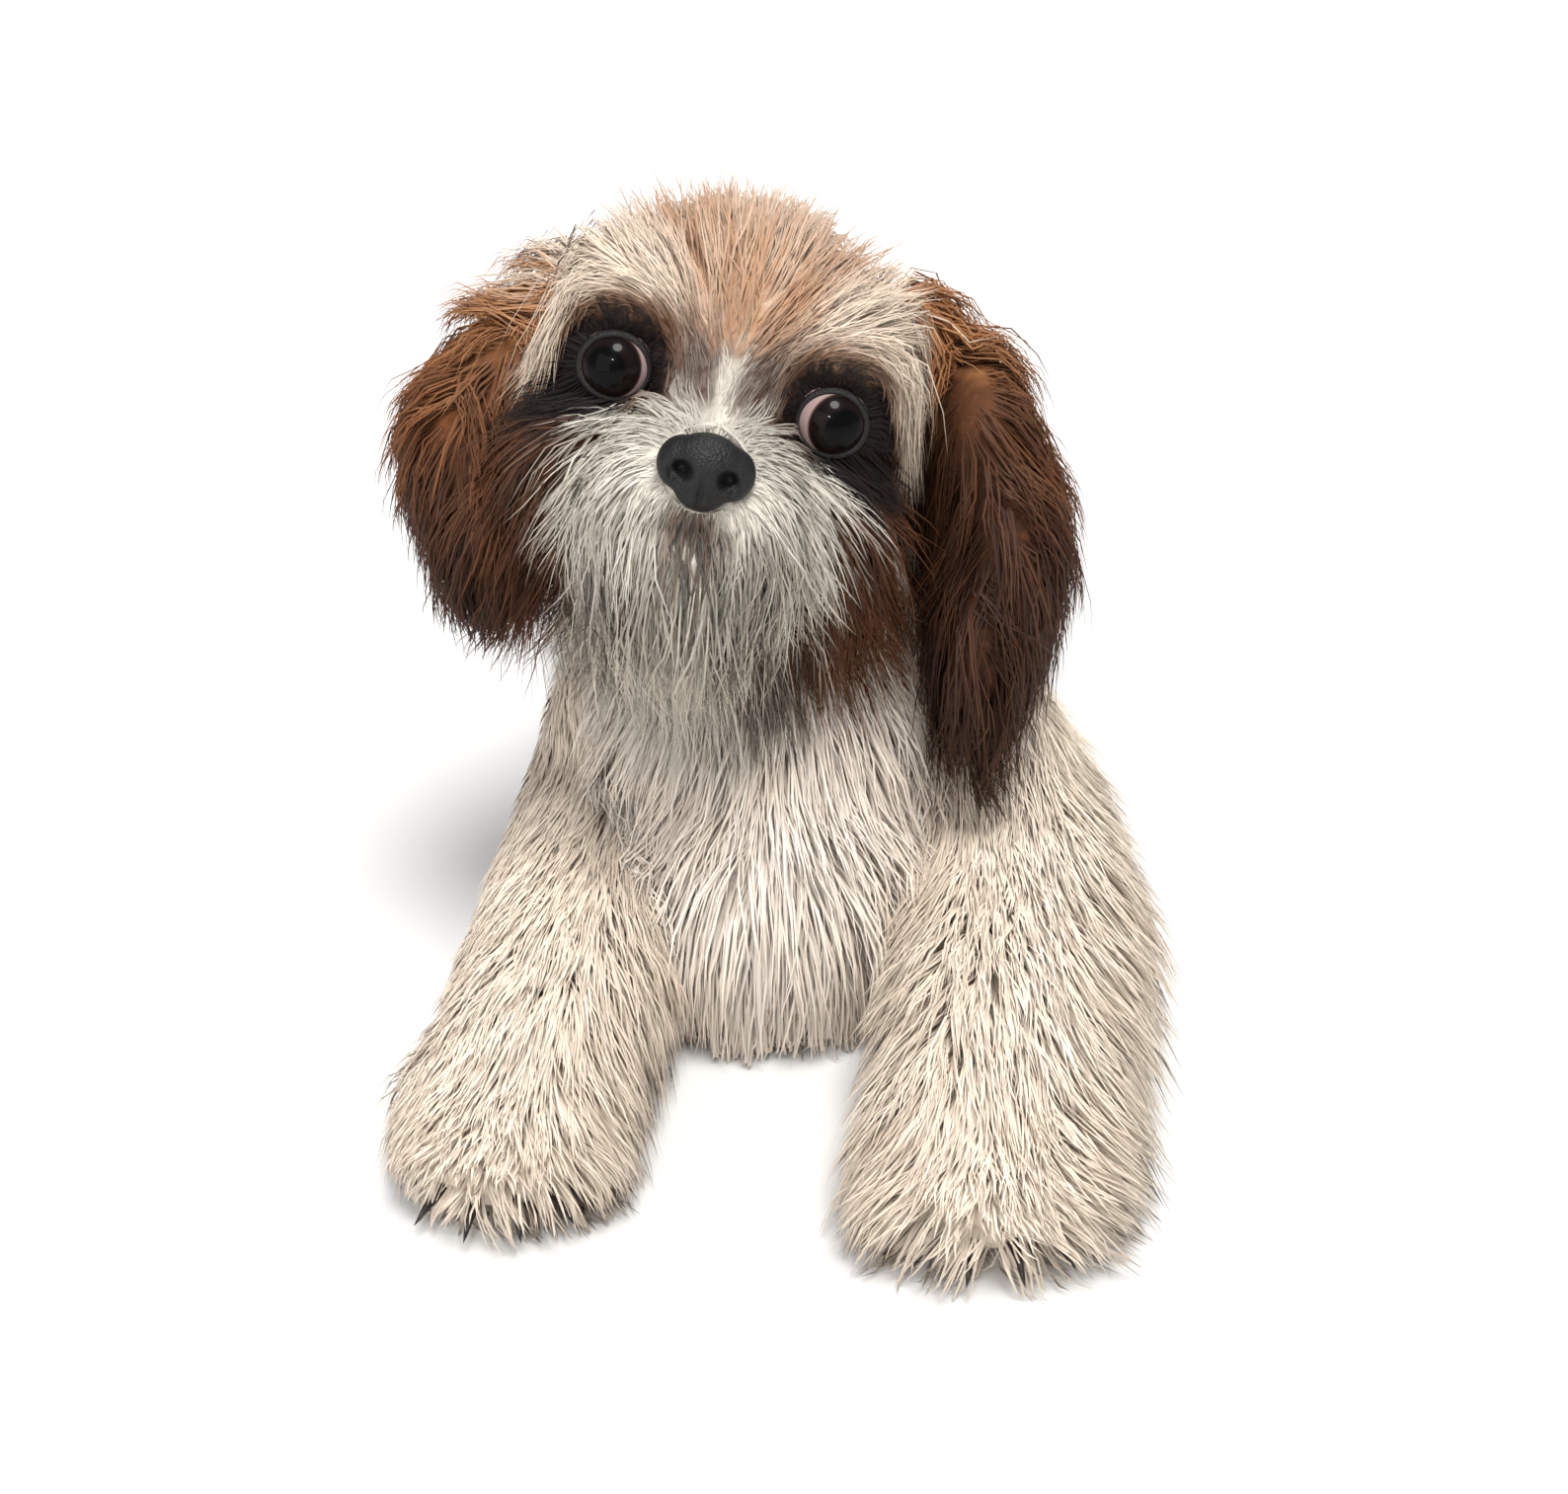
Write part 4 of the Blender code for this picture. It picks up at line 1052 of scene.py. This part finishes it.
def make_eye(side, sign):
    """A dark brown eye under a clear wet cornea, with a rim of pink and white at its inner corner."""
    centre = Vector((sign * EYE_SPACING / 2, -EYE_DEPTH, EYE_HEIGHT))
    lump = (tuple(centre), (EYE_RADIUS,) * 3)
    eye = new_object("eyeball_" + side, ellipsoids("eyeball_" + side, [([lump], HEAD)], segments=64))
    eye.data.shade_smooth()
    turn = math.radians(EYE_TURN[sign])
    gaze = HEAD.to_3x3() @ Vector((sign * math.sin(turn), -math.cos(turn), -0.02)).normalized()
    middle = HEAD @ (centre * 0.01)
    material, tree = new_material("eye_" + side)
    where = add_node(tree, "ShaderNodeTexCoord")
    from_centre = add_node(
        tree, "ShaderNodeVectorMath", {0: where.outputs["Object"], 1: tuple(middle)}, operation="SUBTRACT"
    )
    out = add_node(tree, "ShaderNodeVectorMath", {0: from_centre.outputs[0]}, operation="NORMALIZE")
    facing = add_node(
        tree, "ShaderNodeVectorMath", {0: out.outputs[0], 1: tuple(gaze)}, operation="DOT_PRODUCT"
    )
    look = {
        "Base Color": add_ramp(
            tree, facing.outputs["Value"], [(place, linear(colour)) for place, colour in EYE_STOPS]
        ),
        "Roughness": 0.3,
        "Specular IOR Level": 0.03,
        "Coat Weight": 0.16,
        "Coat Roughness": 0.02,
    }
    finish_material(tree, look)
    eye.data.materials.append(material)
    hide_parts("eye_" + side)
    return eye


def tube(name, path, radii, sides=10, closed=False):
    """A smooth tube along points, each with its own radius, all in metres."""
    form = bmesh.new()
    rings = []
    count = len(path)
    for n, (point, radius) in enumerate(zip(path, radii)):
        before = n - 1 if closed else max(n - 1, 0)
        after = (n + 1) % count if closed else min(n + 1, count - 1)
        ahead = path[after] - path[before]
        across = ahead.cross(Vector((0.0, 1.0, 0.3))).normalized()
        up = across.cross(ahead).normalized()
        ring = []
        for k in range(sides):
            turn = math.tau * k / sides
            spot = point + across * math.cos(turn) * radius + up * math.sin(turn) * radius
            ring.append(form.verts.new(spot))
        rings.append(ring)
    pairs = list(zip(rings, rings[1:] + rings[:1])) if closed else list(zip(rings, rings[1:]))
    for ring, following in pairs:
        for k in range(sides):
            m = (k + 1) % sides
            form.faces.new((ring[k], ring[m], following[m], following[k]))
    if not closed:
        form.faces.new(rings[0])
        form.faces.new(rings[-1])
    obj = new_object(name, mesh_of(form, name))
    obj.data.shade_smooth()
    return obj


def leather_material(name, colour, roughness, scale):
    """Bare dark leather or horn: pebbles at this scale in a bump, and dry lighter blotches."""
    material, tree = new_material(name)
    where = add_node(tree, "ShaderNodeTexCoord")
    pebbles = add_node(
        tree, "ShaderNodeTexVoronoi", {"Vector": where.outputs["Object"], "Scale": scale}, feature="F1"
    )
    blotch = add_node(
        tree, "ShaderNodeTexNoise", {"Vector": where.outputs["Object"], "Scale": 400.0, "Detail": 5.0}
    )
    base = np.array(linear(colour))
    look = {
        "Base Color": add_ramp(tree, blotch.outputs[0], ((0.35, base * 0.5), (0.75, base * 1.9))),
        "Roughness": roughness,
        "Specular IOR Level": 0.35,
        "Normal": add_bump(tree, pebbles.outputs[0], 0.45, 0.0006),
    }
    finish_material(tree, look)
    return material


def make_lids(leather):
    """The dark rims of the lids, one closed ring round each eye."""
    rims = []
    for side, sign in SIDES:
        path = []
        for n in range(40):
            turn = math.tau * n / 40
            x = math.cos(turn)
            z = math.sin(turn) * 0.93 - 0.03 * math.cos(turn) ** 2
            y = -math.sqrt(max(EYE_RADIUS**2 - x * x - z * z, 0.05)) + 0.02
            spot = Vector((sign * EYE_SPACING / 2 + x * sign, -EYE_DEPTH + y, EYE_HEIGHT + z))
            path.append(HEAD @ (spot * 0.01))
        rim = tube("lids_" + side, path, [0.0013] * len(path), closed=True)
        rim.data.materials.append(leather)
        rims.append(rim)
    return rims


def make_nose(leather):
    """The leather of the nose, with comma nostrils and the groove below."""
    half = NOSE_WIDTH / 2
    x, y, z = NOSE_PLACE
    lumps = [
        ((x, y, z + 0.1), (half * 0.8, 0.8, 0.95)),
        ((x, y + 0.15, z - 0.6), (0.8, 0.6, 0.65)),
        ((x + half * 0.5, y + 0.15, z), (half * 0.53, 0.72, 0.8)),
        ((x - half * 0.5, y + 0.15, z), (half * 0.53, 0.72, 0.8)),
    ]
    nose = grow("nose_leather", [(lumps, HEAD)], 0.0007, 12)
    spots = to_head(vertices_of(nose.data))
    front = smooth(-(spots[:, 1] - y), -0.2, 0.3)
    for _, sign in SIDES:
        hole = np.hypot((spots[:, 0] - x - sign * 0.66) / 0.27, (spots[:, 2] - z + 0.08) / 0.25)
        slit_x = (spots[:, 0] - x) * sign - 0.95 - (spots[:, 2] - z + 0.3) * 0.5
        slit = np.hypot(slit_x / 0.12, (spots[:, 2] - z + 0.3) / 0.3)
        deep = np.exp(-(hole**3)) * 0.55 + np.exp(-(slit**2)) * 0.18
        spots[:, 1] += deep * front
    groove = np.exp(-((spots[:, 0] - x) / 0.07) ** 2) * smooth(-(spots[:, 2] - z), -0.1, 0.4)
    spots[:, 1] += groove * 0.14 * front
    move_vertices(nose.data, from_head(spots))
    nose.data.materials.append(leather)
    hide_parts("nose")
    return nose


def make_claws(leather):
    """Four curved dark claws at the front of each paw."""
    form = bmesh.new()
    paws = [(FOREPAWS[sign], PAW_RADII, 1.5) for _, sign in SIDES]
    paws += [(hind_paw(sign), HIND_PAW_RADII, 1.0) for _, sign in SIDES]
    for paw, radii, length in paws:
        for turn in CLAW_TURNS:
            angle = math.radians(turn)
            ahead = Vector((math.sin(angle), -math.cos(angle), 0.0))
            base = Vector(paw) + Vector((ahead.x * radii[0], ahead.y * radii[1], -0.6)) - ahead * 0.3
            rings = []
            for n in range(CLAW_RINGS):
                share = n / CLAW_RINGS
                point = base + ahead * length * share - Vector((0.0, 0.0, 0.6 * share**2))
                radius = 0.28 * (1 - share) ** 0.7
                across = ahead.cross(Vector((0, 0, 1)))
                ring = []
                for k in range(CLAW_SIDES):
                    spin = math.tau * k / CLAW_SIDES
                    spot = point + across * math.cos(spin) * radius * 0.8
                    spot.z += math.sin(spin) * radius
                    ring.append(form.verts.new(spot * 0.01))
                rings.append(ring)
            tip = base + ahead * length - Vector((0.0, 0.0, 0.55))
            tip.z = max(tip.z, 0.1)
            end = form.verts.new(tip * 0.01)
            form.faces.new(rings[0])
            for k in range(CLAW_SIDES):
                m = (k + 1) % CLAW_SIDES
                for ring, following in zip(rings, rings[1:]):
                    form.faces.new((ring[k], ring[m], following[m], following[k]))
                form.faces.new((rings[-1][k], rings[-1][m], end))
    claws = new_object("claws", mesh_of(form, "claws"))
    claws.data.shade_smooth()
    claws.data.materials.append(leather)
    return claws


def make_mouth(leather):
    """The line of the mouth: two dark lips that meet under the nose and run back to their corners."""
    lips = []
    for name, drop in (("lip_upper", 0.0), ("lip_lower", 0.35)):
        path = []
        radii = []
        for n in range(25):
            share = (n - 12) / 12
            spot = (share * 2.6, -6.5 + 2.3 * abs(share) ** 1.7, -3.1 - drop - 0.4 * abs(share))
            path.append(HEAD @ (Vector(spot) * 0.01))
            radii.append(0.0017 * (1 - 0.6 * abs(share)))
        lip = tube(name, path, radii)
        lip.data.materials.append(leather)
        lips.append(lip)
    return lips


def make_floor():
    """A plain pale floor."""
    mesh = bpy.data.meshes.new("floor")
    corners = [(-1, -1), (1, -1), (1, 1), (-1, 1)]
    mesh.from_pydata([(x * FLOOR_REACH, y * FLOOR_REACH, 0) for x, y in corners], [], [(0, 1, 2, 3)])
    material, tree = new_material("pale_floor")
    finish_material(tree, {"Base Color": (*linear(FLOOR_COLOUR), 1.0), "Roughness": 0.9})
    mesh.materials.append(material)
    new_object("studio_floor", mesh)


def make_lights():
    """Soft light from above and in front, a pale surrounding, and a small lamp that shows in the eyes."""
    world = bpy.data.worlds.new("studio")
    bpy.context.scene.world = world
    world.use_nodes = True
    surrounding = world.node_tree.nodes["Background"].inputs
    surrounding["Color"].default_value = (0.95, 0.97, 1.0, 1.0)
    surrounding["Strength"].default_value = 0.52
    bpy.context.scene.view_settings.view_transform = "Standard"
    sky = bpy.data.lights.new("skylight", "SUN")
    sky.energy = 3.4
    sky.angle = math.radians(25.0)
    lamps = [(sky, (0.15, -0.42, 1.2))]
    for name, place, size, power in AREA_LAMPS:
        light = bpy.data.lights.new(name, "AREA")
        light.size = size
        light.energy = power
        lamps.append((light, place))
    for light, place in lamps:
        lamp = bpy.data.objects.new(light.name, light)
        bpy.context.scene.collection.objects.link(lamp)
        lamp.location = place
        away = Vector(LIT_PLACE) - Vector(place)
        lamp.rotation_euler = away.to_track_quat("-Z", "Y").to_euler()


def make_camera():
    lens = bpy.data.cameras.new("camera")
    lens.lens = CAMERA_LENS
    lens.sensor_width = 36.0
    camera = bpy.data.objects.new("camera", lens)
    bpy.context.scene.collection.objects.link(camera)
    camera.location = CAMERA_PLACE
    camera.rotation_euler = (math.radians(90.0 - CAMERA_DOWN), 0.0, 0.0)
    bpy.context.scene.camera = camera


def dress():
    """Makes and places every piece, and hangs them all on the still body."""
    make_camera()
    make_floor()
    make_lights()
    skin = make_skin()
    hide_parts(*[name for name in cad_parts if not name.startswith("eye") and name != "nose"])
    pieces = [skin]
    form = bmesh.new()
    form.from_mesh(skin.data)
    tree = BVHTree.FromBMesh(form)
    form.free()
    surface = surface_of(skin)
    hair = hair_material()
    for coat in COATS:
        piece = grow_coat(coat, surface, tree)
        piece.data.materials.append(hair)
        pieces.append(piece)
    leather = leather_material("nose_leather", "0b0b0d", 0.5, 1500.0)
    dark = leather_material("dark_rims", "0e0908", 0.45, 2500.0)
    horn = leather_material("claw_horn", "2b2422", 0.3, 700.0)
    pieces += [make_eye(side, sign) for side, sign in SIDES]
    pieces += make_lids(dark)
    pieces.append(make_nose(leather))
    pieces += make_mouth(dark)
    pieces.append(make_claws(horn))
    for piece in pieces:
        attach(piece, "root")


dress()
